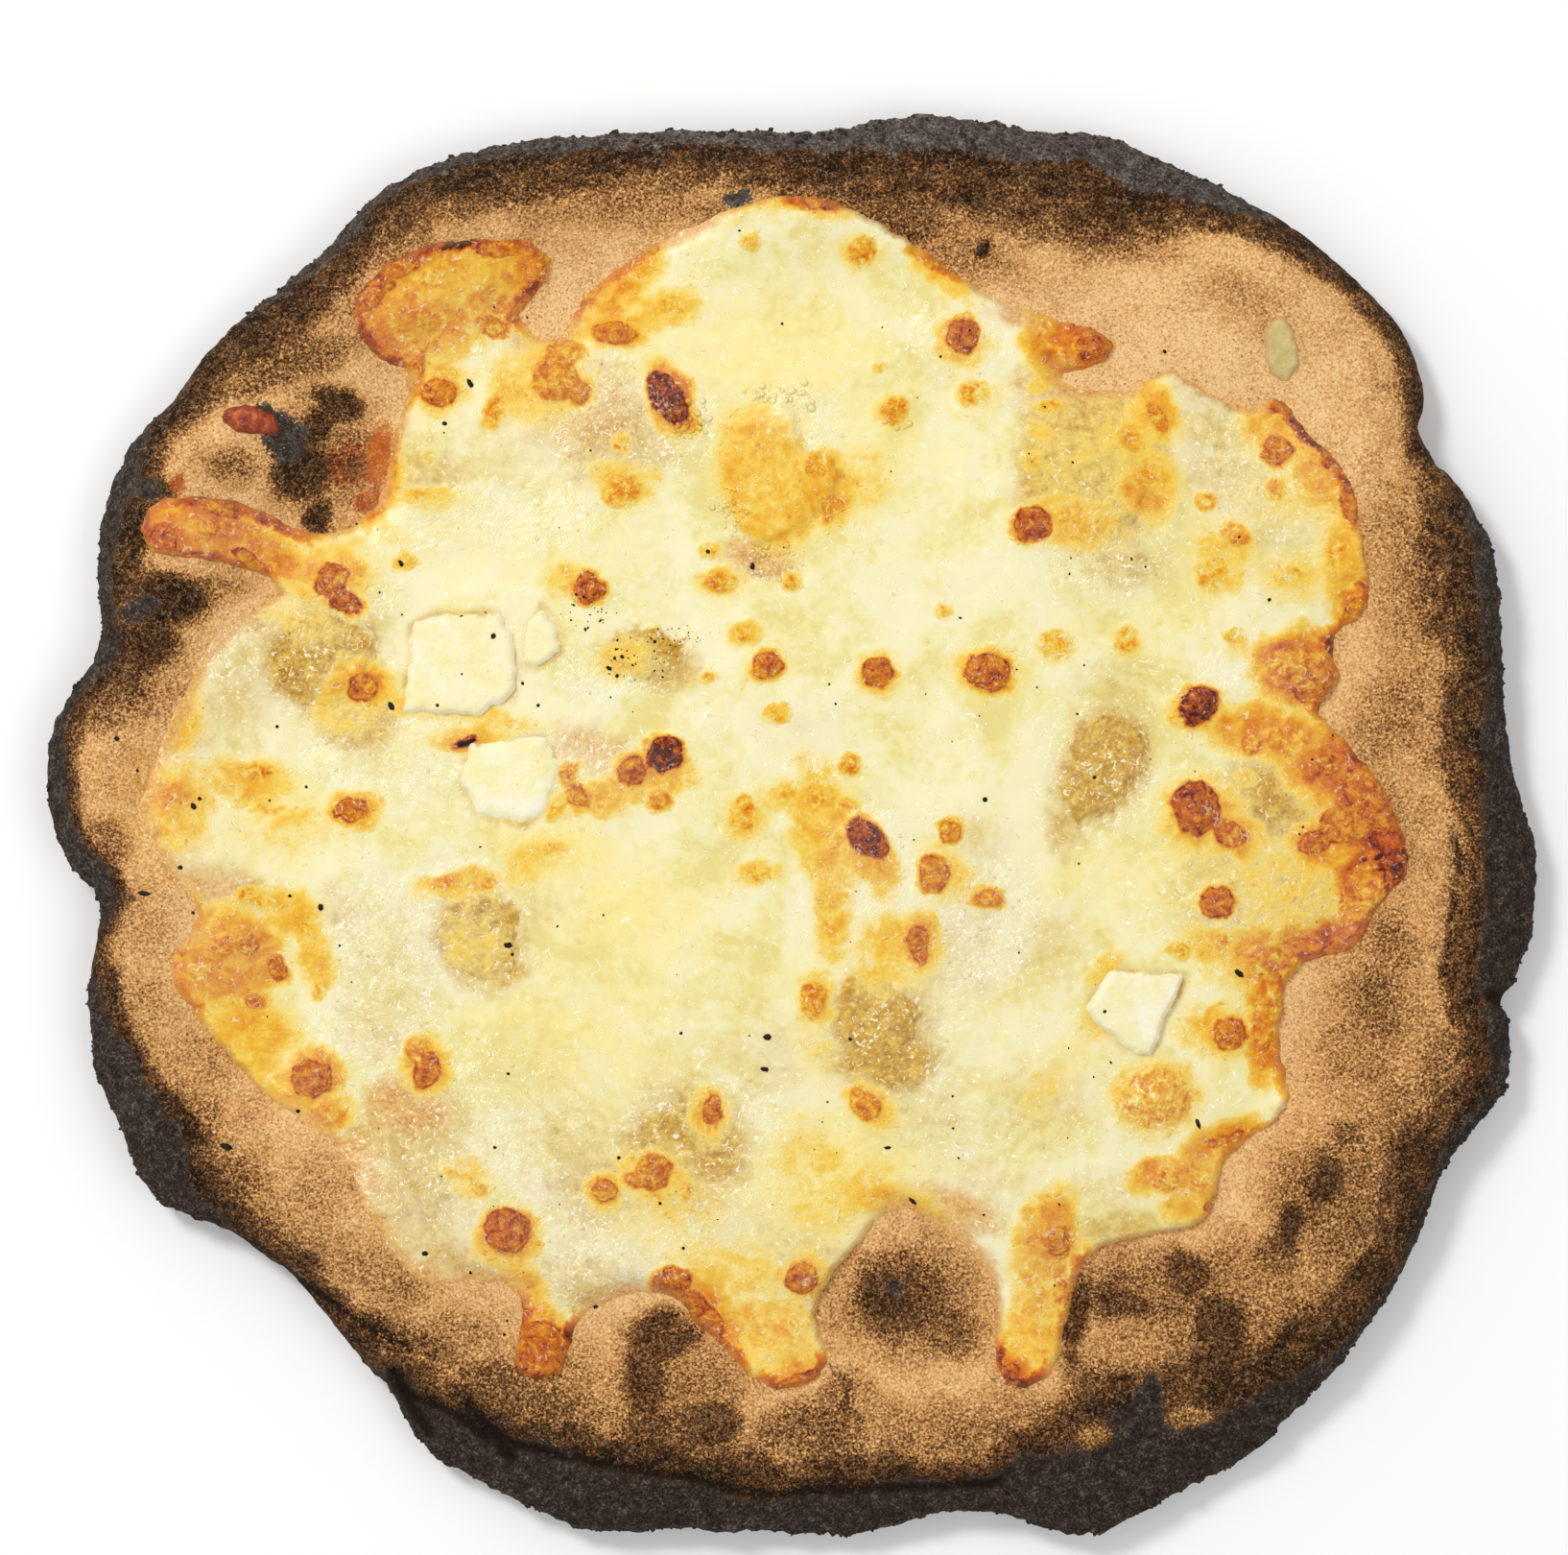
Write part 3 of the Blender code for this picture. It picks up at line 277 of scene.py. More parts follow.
# Thin or glassy places where dough or lumps show through: ellipse, tan, pink (dough colour),
# softness
GLASSY = (
    (335, 690, 60, 54, 0, 1, 0, .5), (300, 680, 22, 50, 0, .7, 0, .6), (260, 700, 60, 50, 0, .35, 0, .8),
    (1150, 800, 44, 60, 25, .85, 0, .5), (1110, 865, 26, 34, 20, .5, 0, .7),
    (1140, 490, 78, 84, 30, .95, .1, .4), (1110, 420, 60, 34, 0, .35, .5, .6),
    (1175, 590, 40, 30, 0, .45, .1, .7), (1230, 420, 50, 40, 30, .35, .25, .6),
    (900, 1055, 36, 46, 20, .9, .1, .5), (950, 1050, 30, 46, 0, .5, 0, .7),
    (920, 1105, 56, 34, 0, .95, 0, .7), (500, 975, 46, 60, -20, .75, 0, .5),
    (520, 1010, 34, 22, 0, .6, 0, .5), (680, 690, 56, 26, 15, .65, .1, .6),
    (640, 460, 56, 60, 20, .55, .25, .6), (600, 420, 80, 60, 0, .35, .45, .7),
    (560, 350, 40, 30, 0, .2, .7, .6), (620, 780, 50, 26, 20, .2, .55, .6),
    (690, 440, 60, 44, 0, .15, .35, .8), (430, 1150, 50, 34, 10, .35, .75, .6),
    (400, 1080, 60, 34, 0, .25, .35, .9), (350, 960, 50, 50, 0, .3, .2, .9),
    (400, 1000, 70, 80, 0, .3, .05, .9), (430, 1250, 70, 70, 0, .5, .15, .8),
    (380, 1200, 40, 60, 20, .5, .45, .8), (480, 1320, 80, 40, 0, .5, .35, .8),
    (600, 1330, 90, 40, 0, .4, .2, .8), (715, 1200, 64, 64, 0, .85, .15, .7),
    (740, 1260, 60, 60, 0, .3, .2, .9), (640, 1260, 50, 60, 0, .3, .05, .9),
    (790, 1400, 60, 40, 0, .7, 0, .8), (980, 1260, 70, 30, 10, .2, .75, .7),
    (1020, 1230, 60, 30, 0, .2, .35, .9), (1160, 1280, 80, 22, -5, .45, .2, .7),
    (180, 770, 40, 60, 0, .3, .6, .8), (170, 870, 44, 50, 0, .25, .65, .8),
    (230, 930, 60, 34, 10, .2, .7, .7), (230, 600, 70, 26, 10, .5, .3, .7),
    (270, 640, 60, 30, 30, .6, 0, .7), (1100, 400, 50, 20, 0, .3, .7, .6),
    (1335, 832, 64, 52, 0, .8, 0, .7), (1365, 930, 56, 54, 0, .8, 0, .8),
    (1350, 600, 50, 50, 0, .3, .1, .9), (1320, 560, 60, 60, 0, .35, 0, .9),
    (1000, 990, 70, 60, 0, .35, .1, .9), (1010, 900, 40, 60, 0, .35, .15, .8),
    (750, 215, 60, 14, -10, .2, .6, .7), (1050, 320, 30, 20, 0, .1, .3, .8),
    (790, 580, 40, 24, 10, .2, .8, .6), (470, 290, 60, 30, -8, .6, 0, .6),
    (420, 320, 50, 30, 0, .5, .1, .7), (1085, 1390, 30, 50, 10, 1, 0, .6),
    (560, 1375, 20, 26, 0, .5, 0, .7), (1150, 1240, 60, 26, -10, .3, .2, .8),
    (955, 1155, 64, 56, 0, .35, 0, .9), (520, 470, 80, 44, 0, .3, .1, .9),
    (1165, 720, 50, 60, 0, .3, .05, .9), (1262, 447, 60, 40, 0, .4, 0, .8),
    (1085, 1150, 60, 50, 0, .35, 0, .9), (1100, 985, 50, 50, 0, .3, 0, .9),
    (545, 950, 40, 40, 0, .35, 0, .9), (430, 1185, 70, 44, 0, .5, .1, .9),
    (590, 1190, 70, 50, 0, .35, 0, .9), (800, 1105, 60, 50, 0, .3, 0, .9), (245, 730, 60, 50, 0, .4, 0, .9),
    (330, 600, 60, 50, 0, .5, .1, .8), (1290, 930, 70, 60, 0, .5, 0, .9), (830, 755, 60, 40, 0, .2, 0, .9),
    (620, 1240, 60, 50, 0, .55, 0, .9), (375, 740, 44, 44, 0, .75, 0, .7),
    (445, 495, 50, 40, 0, .5, .1, .9), (1280, 500, 70, 44, 0, .45, 0, .9),
    (840, 1330, 60, 60, 0, .5, 0, .9), (370, 655, 40, 40, 0, .5, .1, .8),
)

# Yellow stain of the melted sheet: ellipse without turn, amount
YELLOW = (
    (800, 370, 150, 80, .7), (930, 480, 90, 70, .5), (860, 420, 120, 120, .5), (660, 950, 90, 60, .75),
    (590, 885, 70, 34, .9), (720, 1010, 100, 90, .3), (600, 1080, 120, 90, .6), (420, 760, 140, 60, .5),
    (820, 620, 120, 60, .3), (560, 560, 150, 60, .5), (470, 560, 120, 60, .4), (900, 1060, 120, 80, .5),
    (850, 1230, 120, 70, .8), (1060, 900, 120, 80, .3), (1150, 900, 90, 90, .5), (1260, 900, 120, 120, .6),
    (1120, 650, 160, 60, .3), (950, 560, 100, 60, .3), (620, 1170, 90, 70, .5), (1090, 1130, 60, 60, .5),
    (270, 850, 70, 70, .35), (310, 910, 60, 40, .3), (1335, 835, 70, 56, .9), (1230, 640, 60, 60, .4),
    (1000, 800, 120, 80, .25), (1020, 1080, 140, 80, .3),
)

# Wet, bubbly places that glitter: ellipse without turn, amount
WET = (
    (320, 680, 70, 60, 1), (250, 660, 50, 40, .8), (410, 780, 90, 50, .9), (400, 1020, 60, 100, 1),
    (480, 960, 60, 70, .8), (660, 440, 90, 60, .9), (1150, 560, 70, 60, 1), (1150, 800, 50, 70, .9),
    (1330, 830, 110, 90, .6), (1340, 960, 110, 50, .9), (1010, 960, 70, 70, 1), (930, 1090, 70, 60, .9),
    (740, 1220, 100, 110, .8), (560, 1230, 90, 80, .9), (620, 1330, 80, 50, .8), (820, 1360, 60, 60, .9),
    (540, 540, 90, 34, .8), (470, 340, 90, 50, .8), (240, 560, 80, 40, .7), (350, 620, 60, 40, 1),
    (640, 700, 60, 30, .8), (630, 810, 80, 40, .8), (905, 900, 50, 60, .9), (1200, 1150, 60, 50, .7),
    (1230, 1220, 60, 40, .6), (240, 1000, 60, 50, .7), (330, 1120, 50, 60, .7), (540, 1290, 50, 40, .9),
    (1320, 700, 70, 40, .7), (1320, 500, 80, 70, .8), (600, 400, 70, 50, .8), (880, 230, 60, 20, .5),
    (1000, 360, 50, 40, .6), (830, 440, 60, 40, .6), (440, 540, 60, 40, .5), (1090, 1330, 40, 90, .8),
    (200, 830, 60, 70, .7), (500, 1130, 120, 50, .5), (450, 1220, 70, 60, .8), (1000, 1180, 90, 40, .4),
)

# Zones where the sheet's edge is fried brown: ellipse without turn, strength
BROWN_EDGES = (
    (460, 290, 130, 75, 1), (400, 362, 44, 34, 1), (225, 555, 110, 60, .9), (1375, 480, 70, 90, 1),
    (1440, 870, 70, 130, 1), (1390, 985, 70, 30, 1), (1330, 1060, 50, 80, .7), (1385, 700, 50, 50, 1),
    (1413, 640, 30, 40, .9), (230, 1000, 80, 80, .6), (630, 290, 60, 60, .8), (850, 212, 40, 14, .8),
    (980, 275, 50, 24, .7), (750, 1380, 60, 60, .8), (835, 1435, 50, 30, .9), (1055, 1430, 40, 40, 1),
    (562, 1400, 50, 60, 1), (1290, 1195, 50, 30, .6), (1130, 360, 50, 40, .8), (390, 500, 40, 50, .6),
    (1110, 1330, 30, 70, .7),
)

# Strips where cheese runs out into the dough without a clear edge: points, width in pixels
FADING_EDGES = (
    (((290, 1165), (350, 1195), (378, 1240), (400, 1310), (460, 1338), (535, 1345)), 34),
    (((612, 1372), (650, 1350), (700, 1360)), 24),
    (((150, 760), (140, 830), (165, 900), (205, 955)), 40),
    (((240, 655), (208, 684), (195, 740), (160, 800)), 26),
    (((938, 1262), (985, 1285), (1022, 1325)), 30),
    (((1060, 330), (1120, 400), (1180, 400)), 22),
    (((560, 345), (600, 340), (612, 300), (650, 262), (735, 232)), 20),
    (((425, 395), (410, 460), (395, 525)), 14),
)

# Ground pepper: x, y, radius in pixels, stretch, turn
PEPPER = (
    (490, 400, 3.6, 1.8, 60), (464, 442, 2.4, 1.2, 20), (815, 338, 1.8, 1, 0), (418, 587, 3, 1.5, 60),
    (738, 575, 2.4, 1, 0), (784, 590, 3.2, 1.2, 70), (515, 663, 3.4, 1, 0), (482, 643, 2, 1, 0),
    (1322, 625, 2.2, 1, 0), (1026, 833, 3, 1, 0), (1140, 810, 2.4, 1, 0), (335, 945, 3.6, 1.2, 80),
    (157, 930, 3.6, 2, 5), (193, 903, 3, 1, 0), (529, 984, 4, 1.4, 10), (534, 994, 2, 1, 0),
    (408, 735, 3.4, 1.5, 60), (545, 712, 2, 1, 0), (457, 735, 2, 1, 0), (1290, 1013, 3.6, 1.7, 40),
    (1248, 1170, 3, 2, 70), (951, 1251, 3.6, 1.6, 50), (445, 1302, 3.2, 1.2, 0), (620, 1362, 3, 1, 0),
    (800, 1080, 4, 1.2, 0), (797, 1114, 3, 1.6, 10), (925, 1195, 2.4, 1.6, 0), (205, 840, 3.8, 1.2, 60),
    (211, 832, 2.4, 1, 0), (128, 770, 3, 1, 0), (148, 803, 2, 1, 0), (240, 1191, 4.5, 1.8, 20),
    (1213, 367, 2.4, 1, 0), (561, 735, 2.2, 1, 0), (303, 933, 2, 1, 0), (486, 774, 4, 3, -20),
    (1290, 560, 1.5, 1, 0), (530, 1118, 2, 1, 0), (516, 1195, 2, 1, 0), (645, 1206, 2, 1, 0),
    (688, 1253, 2, 1, 0), (491, 1324, 2, 1, 0), (712, 1300, 2, 1, 0), (526, 1389, 2, 1, 0),
    (1150, 1053, 2, 1, 0), (1025, 1265, 1.6, 1, 0), (993, 1175, 1.6, 1, 0), (710, 1076, 2, 1, 0),
    (290, 757, 2, 1, 0), (320, 820, 2, 1, 0), (205, 950, 2, 1, 0), (355, 985, 1.6, 1, 0),
    (886, 1082, 2.2, 1, 0), (1010, 345, 1.6, 1, 0), (980, 372, 1.6, 1, 0), (313, 1156, 2.2, 1, 0),
)

# Fine pepper: ellipse without turn, count, largest radius in pixels
PEPPER_CLOUDS = (
    (612, 636, 34, 20, 26, 2.2), (672, 686, 46, 26, 34, 2.4), (704, 664, 30, 14, 22, 1.5),
    (650, 694, 22, 12, 5, 4.2),
)

# Foam of small bubbles: ellipse without turn, count, largest radius in pixels
FOAM = (
    (720, 436, 22, 22, 60, 5), (800, 412, 34, 10, 34, 5), (840, 415, 10, 16, 20, 5),
    (765, 535, 14, 26, 34, 3.6), (805, 585, 32, 20, 70, 4), (748, 528, 8, 10, 12, 4),
    (300, 685, 20, 30, 60, 3.6), (700, 268, 18, 6, 8, 4), (935, 440, 14, 8, 12, 4),
)
STRAY_PEPPER = 90                   # grains of fine pepper all over


# ---------------------------------------------------------------- numbers over the photograph's frame

def smooth_step(share):
    share = np.clip(share, 0.0, 1.0)
    return share * share * (3.0 - 2.0 * share)


class Noise:
    """Seeded gradient noise that works on whole arrays of points."""

    SHIFT = 17.3                    # away from the lattice point at the origin
    NEXT_SCALE, NEXT_SHIFT, NEXT_STRENGTH = 2.03, 5.1, 0.5

    def __init__(self, seed):
        draw = np.random.default_rng(seed)
        steps = draw.normal(size=(256, 3))
        self.slopes = steps / np.linalg.norm(steps, axis=1)[:, None]
        self.order = draw.permutation(256)

    def wave(self, points):
        cell = np.floor(points).astype(np.int64)
        share = points - cell
        ease = share ** 3 * (share * (share * 6.0 - 15.0) + 10.0)
        total = np.zeros(len(points))
        for corner in np.ndindex(2, 2, 2):
            corner = np.array(corner)
            at = (cell + corner) & 255
            pick = self.order[(self.order[(self.order[at[:, 0]] + at[:, 1]) & 255] + at[:, 2]) & 255]
            weight = np.prod(np.where(corner == 1, ease, 1.0 - ease), axis=1)
            total += weight * (self.slopes[pick] * (share - corner)).sum(axis=1)
        return total * 1.6

    def __call__(self, points, size, octaves=1, lift=0.0):
        """Waves of the given size between about -1 and 1. Each use has its own lift, which is also
        the height of flat points, so that no two uses show the same waves."""
        if points.shape[1] == 2:
            points = np.column_stack([points, np.full(len(points), lift)])
        scaled = points / size + self.SHIFT + lift
        total, strength = np.zeros(len(points)), 1.0
        for _ in range(octaves):
            total += strength * self.wave(scaled)
            scaled = scaled * self.NEXT_SCALE + self.NEXT_SHIFT
            strength *= self.NEXT_STRENGTH
        return total


noise = Noise(4)


def to_pixels(points):
    """Place in the photograph's frame of points in millimetres."""
    return np.column_stack([
        points[:, 0] / PIXEL + CENTRE_PIXEL[0], CENTRE_PIXEL[1] - points[:, 1] / PIXEL])


def warped(places, reach, size, lift):
    """The places shaken by soft noise, so that round marks get natural outlines."""
    return places + reach * np.column_stack([
        noise(places, size, 2, lift), noise(places, size, 2, lift + 40.0)])


def round_share(places, x, y, half_width, half_height, turn):
    """How far out each place lies in an ellipse: 0 in its middle, 1 on its edge."""
    angle = math.radians(turn)
    across, down = places[:, 0] - x, places[:, 1] - y
    along = (across * math.cos(angle) + down * math.sin(angle)) / half_width
    side = (down * math.cos(angle) - across * math.sin(angle)) / half_height
    return np.hypot(along, side)


def blot(places, x, y, half_width, half_height, turn, softness):
    """1 inside an ellipse, fading to 0 across its edge."""
    share = round_share(places, x, y, half_width, half_height, turn)
    return 1.0 - smooth_step((share - 1.0 + softness) / (2.0 * softness))


def strongest(places, patches):
    """The greatest level of all patches at each place. A patch ends in its level and softness."""
    found = np.zeros(len(places))
    for *ellipse, level, softness in patches:
        found = np.maximum(found, level * blot(places, *ellipse, softness))
    return found


def upright(rows, softness):
    """Patches without turn, from rows of x, y, half width, half height and level."""
    return [(*row, 0.0, level, softness) for *row, level in rows]


def line_distance(places, points):
    """Distance of each place from an open line."""
    points = np.asarray(points, dtype=float)
    nearest = np.full(len(places), np.inf)
    for start, end in zip(points[:-1], points[1:]):
        run = end - start
        share = np.clip(((places - start) @ run) / (run @ run), 0.0, 1.0)
        nearest = np.minimum(nearest, np.hypot(*(places - start - share[:, None] * run).T))
    return nearest


def near_line(places, line, width):
    """1 on a line, fading to 0 within about twice its width."""
    return np.exp(-(line_distance(places, line) / width) ** 2)


def near_lines(places, lines):
    return np.max([near_line(places, line, width) for line, width in lines], axis=0)


def round_rim(turn, table, column=1):
    """What a table gives for each direction in degrees."""
    rows = np.array(table, dtype=float)
    return np.interp(turn, rows[:, 0], rows[:, column], period=360)


def blur(values, sigma, axis, wrap):
    """Gaussian smoothing along one axis of an array."""
    reach = int(math.ceil(3 * sigma))
    weights = np.exp(-0.5 * (np.arange(-reach, reach + 1) / sigma) ** 2)
    weights /= weights.sum()
    pad = [(0, 0)] * values.ndim
    pad[axis] = (reach, reach)
    padded = np.pad(values, pad, mode="wrap" if wrap else "edge")
    length = values.shape[axis]
    total = np.zeros_like(values)
    for step, weight in enumerate(weights):
        total += weight * np.take(padded, np.arange(step, step + length), axis=axis)
    return total


def grid_over(low, high, step):
    """Points of a regular grid, as columns and rows of x and y."""
    xs, ys = (np.arange(start, end, step) for start, end in zip(low, high))
    return np.stack(np.meshgrid(xs, ys, indexing="ij"), axis=-1)


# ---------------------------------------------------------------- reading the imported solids

SKY = 60.0                          # height in mm from which rays are dropped
DOWN = Vector((0, 0, -1))


def tree_from(points, faces):
    return BVHTree.FromPolygons([Vector(p) for p in points], [tuple(int(i) for i in f) for f in faces])


def tree_round(piece):
    return tree_from(vertices_of(piece), [face.vertices for face in piece.data.polygons])


@functools.cache
def tree_of(node):
    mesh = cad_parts[node].data
    return tree_from([vertex.co / MM for vertex in mesh.vertices], [face.vertices for face in mesh.polygons])


def drop(tree, points, missing=np.nan):
    """Height of the surface under each point."""
    heights = np.full(len(points), missing)
    for i, (x, y) in enumerate(points):
        hit = tree.ray_cast(Vector((x, y, SKY)), DOWN)[0]
        if hit is not None:
            heights[i] = hit.z
    return heights


class HeightMap:
    """Heights on a regular grid, smoothed, with any gaps filled from their surroundings."""

    def __init__(self, low, high, spacing, heights_at, sigma):
        self.low, self.spacing = low, spacing
        grid = grid_over(low, high + spacing, spacing)
        heights = heights_at(grid.reshape(-1, 2)).reshape(grid.shape[:2])
        known = np.isfinite(heights).astype(float)
        filled = np.where(known > 0, heights, 0.0)
        for axis in (0, 1):
            filled, known = (blur(values, sigma / spacing, axis, False) for values in (filled, known))
        self.values = filled / np.maximum(known, 1e-6)

    def __call__(self, points):
        place = (points - self.low) / self.spacing
        cell = np.clip(np.floor(place).astype(int), 0, np.array(self.values.shape) - 2)
        x, y = cell.T
        a, b = (place - cell).T
        v = self.values
        return (v[x, y] * (1 - a) * (1 - b) + v[x + 1, y] * a * (1 - b)
                + v[x, y + 1] * (1 - a) * b + v[x + 1, y + 1] * a * b)


# ---------------------------------------------------------------- meshes

def make_piece(name, points, faces, replaced, slot):
    """A piece in metres from points in millimetres, riding on the body."""
    mesh = bpy.data.meshes.new(name)
    mesh.from_pydata((np.asarray(points, dtype=np.float64) * MM).tolist(), [], faces)
    mesh.update()
    mesh.shade_smooth()
    piece = bpy.data.objects.new(name, mesh)
    bpy.context.scene.collection.objects.link(piece)
    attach(piece, "root")
    for node in replaced:
        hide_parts(node)
    return piece


def vertices_of(piece, measure="co", unit=MM):
    """Places of a mesh's points in mm, or another measure of theirs with three numbers."""
    numbers = np.zeros(len(piece.data.vertices) * 3)
    piece.data.vertices.foreach_get(measure, numbers)
    return numbers.reshape(-1, 3) / unit


def store(piece, values):
    """Keeps named numbers on the mesh's first points, for its material, and 0 on the others."""
    for name, numbers in values.items():
        kept = np.zeros(len(piece.data.vertices), dtype=np.float32)
        kept[:len(numbers)] = numbers
        piece.data.attributes.new(name, "FLOAT", "POINT").data.foreach_set("value", kept)


def ring_faces(lower, upper):
    count = len(lower)
    return [(int(lower[i]), int(lower[(i + 1) % count]), int(upper[(i + 1) % count]), int(upper[i]))
            for i in range(count)]


def set_map(piece, places):
    """The bake's UV map from one place for each point."""
    corners = np.zeros(len(piece.data.loops), dtype=np.int32)
    piece.data.loops.foreach_get("vertex_index", corners)
    layer = piece.data.uv_layers.new(name="OFBake")
    layer.data.foreach_set("uv", places[corners].astype(np.float32).ravel())


# ---------------------------------------------------------------- crust

CRUST_STEPS = 1000                  # points round the rim
EDGE_HEIGHTS = (3.5, 5.0, 6.5)      # where the outer edge is looked for
FAR_OUT = 250                       # from where rays look for it
WALL_TURNS = np.radians(np.linspace(-58.0, 76.0, 17))
PIVOT_DEPTH = 8.0                   # the wall is sampled by rays towards a point inside the rim
PIVOT_HEIGHT = 5.5
WALL_RAY = 40.0                     # length of these rays
SKIN_BLURS = (2.6, 1.4)             # smoothing round the rim and across it, in points
TOP_DEPTHS = np.arange(7.4, 61.6, 0.9)
CORE_SHARES = (0.86, 0.66, 0.44, 0.22)
UNDER_DEPTHS = (7.5, 9.5, 14.0, 24.0, 42.0, 70.0)
LEAST_HEIGHT = 0.05                 # the wall stays above the table
CHAR_EDGE = 2.6                     # mm over which the charred band fades out
TAIL_REACH = 14.0                   # mm over which the browning fades inside the band
SOLE_FADE = (0.9, 0.6, 0.25)        # how far the wall's lowest rings look like the underside
TOP_DISC = (0.415, 0.41)            # where the bake's map shows the upper side: centre, radius
SOLE_DISC = (0.835, 0.155)          # where it shows the underside
MIDDLE_LENGTH = 30.0                # mm that the map leaves for the middle of a disc


class Rim:
    """Radius of the dough's outer edge in each direction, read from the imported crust."""

    def __init__(self, tree):
        self.angles = np.arange(CRUST_STEPS) * 2 * math.pi / CRUST_STEPS
        self.outwards = np.stack([np.cos(self.angles), np.sin(self.angles)], axis=1)
        reach = []
        for angle in self.angles:
            out = Vector((math.cos(angle), math.sin(angle), 0))
            found = [tree.ray_cast(out * FAR_OUT + Vector((0, 0, z)), -out)[0] for z in EDGE_HEIGHTS]
            reach.append(max(Vector((hit.x, hit.y)).length for hit in found if hit is not None))
        self.reach = np.array(reach)

    def inside(self, depth):
        """A ring of points at the given distance in from the outer edge."""
        return self.outwards * (self.reach - depth)[:, None]

    def depth(self, points):
        """Distance in from the outer edge, along the radius."""
        angle = np.arctan2(points[:, 1], points[:, 0]) % (2 * math.pi)
        edge = np.interp(angle, self.angles, self.reach, period=2 * math.pi)
        return edge - np.hypot(points[:, 0], points[:, 1])


def dough_paint(points, rim):
    """Baking marks of the dough at each point (x, y, z in mm)."""
    flat = points[:, :2]
    places, depth = to_pixels(flat), rim.depth(flat)
    turn = np.degrees(np.arctan2(flat[:, 1], flat[:, 0]))
    char_width, brown_width = (round_rim(turn, RIM_BAKE, column) for column in (1, 2))
    ragged = depth + 1.3 * noise(points, 11.0, 2, 1.0) + 0.7 * noise(points, 2.6, 2, 2.0)
    char = smooth_step((char_width - ragged) / CHAR_EDGE + 0.5) * smooth_step(char_width / 3.0)
    share = np.maximum(ragged - char_width, 0.0) / np.maximum(brown_width - char_width, 3.0)
    bake = (0.92 - 0.34 * share) * (1.0 - smooth_step((share - 0.6) / 0.8))
    tail = np.exp(-np.maximum(depth - brown_width, 0.0) / TAIL_REACH)
    bake = np.maximum(bake, round_rim(turn, RIM_TAIL) * tail)
    outwards = flat / np.maximum(np.hypot(*flat.T), 1.0)[:, None]
    streak = noise(np.column_stack([outwards * 24.0, depth / 3.2]), 1.0, 2, 5.0)
    bake = bake + 0.17 * streak * smooth_step(bake / 0.4)
    bake = np.maximum(bake, strongest(warped(places, 7.0, 34.0, 3.0), DOUGH_PATCHES))
    bake = bake + 0.07 * noise(points, 7.0, 2, 4.0)
    shaken = warped(places, 3.0, 14.0, 6.0)
    for *ellipse, level in PALE_PATCHES:
        mask = blot(shaken, *ellipse, 0.5)
        bake, char = bake + (level - bake) * mask, char * (1.0 - mask)
    char = np.maximum(char, strongest(shaken, [(*ellipse, 1.0, 0.3) for ellipse in CHAR_PATCHES]))
    film, film_fry = np.zeros(len(points)), np.full(len(points), 0.5)
    for *ellipse, level, strength in FILMS:
        mask = strength * blot(shaken, *ellipse, 0.45)
        film_fry = np.where(mask > film, level, film_fry)
        film = np.maximum(film, mask)
    grooves = [(line, width) for line, width, _ in GROOVES]
    return {"bake": np.clip(bake, 0.0, 1.0), "char": char, "film": film, "film_fry": film_fry,
            "groove": near_lines(warped(places, 3.0, 22.0, 8.0), grooves),
            "ashen": round_rim(turn, ASH_AND_LIGHT)}


def dough_relief(points, bake, char):
    """How far the dough's skin stands out from the plain solid, in mm."""
    relief = 0.34 * noise(points, 9.0, 2, 11.0) + 0.07 * noise(points, 2.2, 2, 12.0)
    crumble = np.abs(noise(points, 4.2, 3, 13.0))
    relief += char * (crumble - 0.4 + 0.5 * noise(points, 7.0, 1, 15.0))
    relief += 0.12 * bake * noise(points, 1.7, 2, 14.0)
    shaken = warped(to_pixels(points[:, :2]), 3.0, 22.0, 8.0)
    for line, width, deep in GROOVES:
        relief -= deep * near_line(shaken, line, 1.3 * width)
    return relief


def crust_skin(tree, rim):
    """Wall and top of the dough, smoothed and with their relief, as rings of points."""
    rings = []
    for turn in WALL_TURNS:
        ring = []
        for (x, y), reach in zip(rim.outwards, rim.reach):
            aim = Vector((x * math.cos(turn), y * math.cos(turn), math.sin(turn)))
            pivot = Vector((x, y, 0)) * (reach - PIVOT_DEPTH) + Vector((0, 0, PIVOT_HEIGHT))
            ring.append(tuple(tree.ray_cast(pivot + aim * WALL_RAY, -aim)[0]))
        rings.append(ring)
    rings += [with_heights(tree, rim.inside(depth)) for depth in TOP_DEPTHS]
    skin = blur(blur(np.array(rings, dtype=float), SKIN_BLURS[0], 1, True), SKIN_BLURS[1], 0, False)

    along = np.roll(skin, -1, axis=1) - np.roll(skin, 1, axis=1)
    normal = np.cross(along, np.gradient(skin, axis=0))
    normal /= np.linalg.norm(normal, axis=2)[..., None]
    flat_skin = skin.reshape(-1, 3)
    paint = dough_paint(flat_skin, rim)
    relief = dough_relief(flat_skin, paint["bake"], paint["char"]).reshape(skin.shape[:2])
    relief[[0, -1]] = 0.0
    skin = skin + normal * relief[..., None]
    skin[..., 2] = np.maximum(skin[..., 2], LEAST_HEIGHT)
    return skin


def with_heights(tree, flat):
    return np.column_stack([flat, drop(tree, flat)])


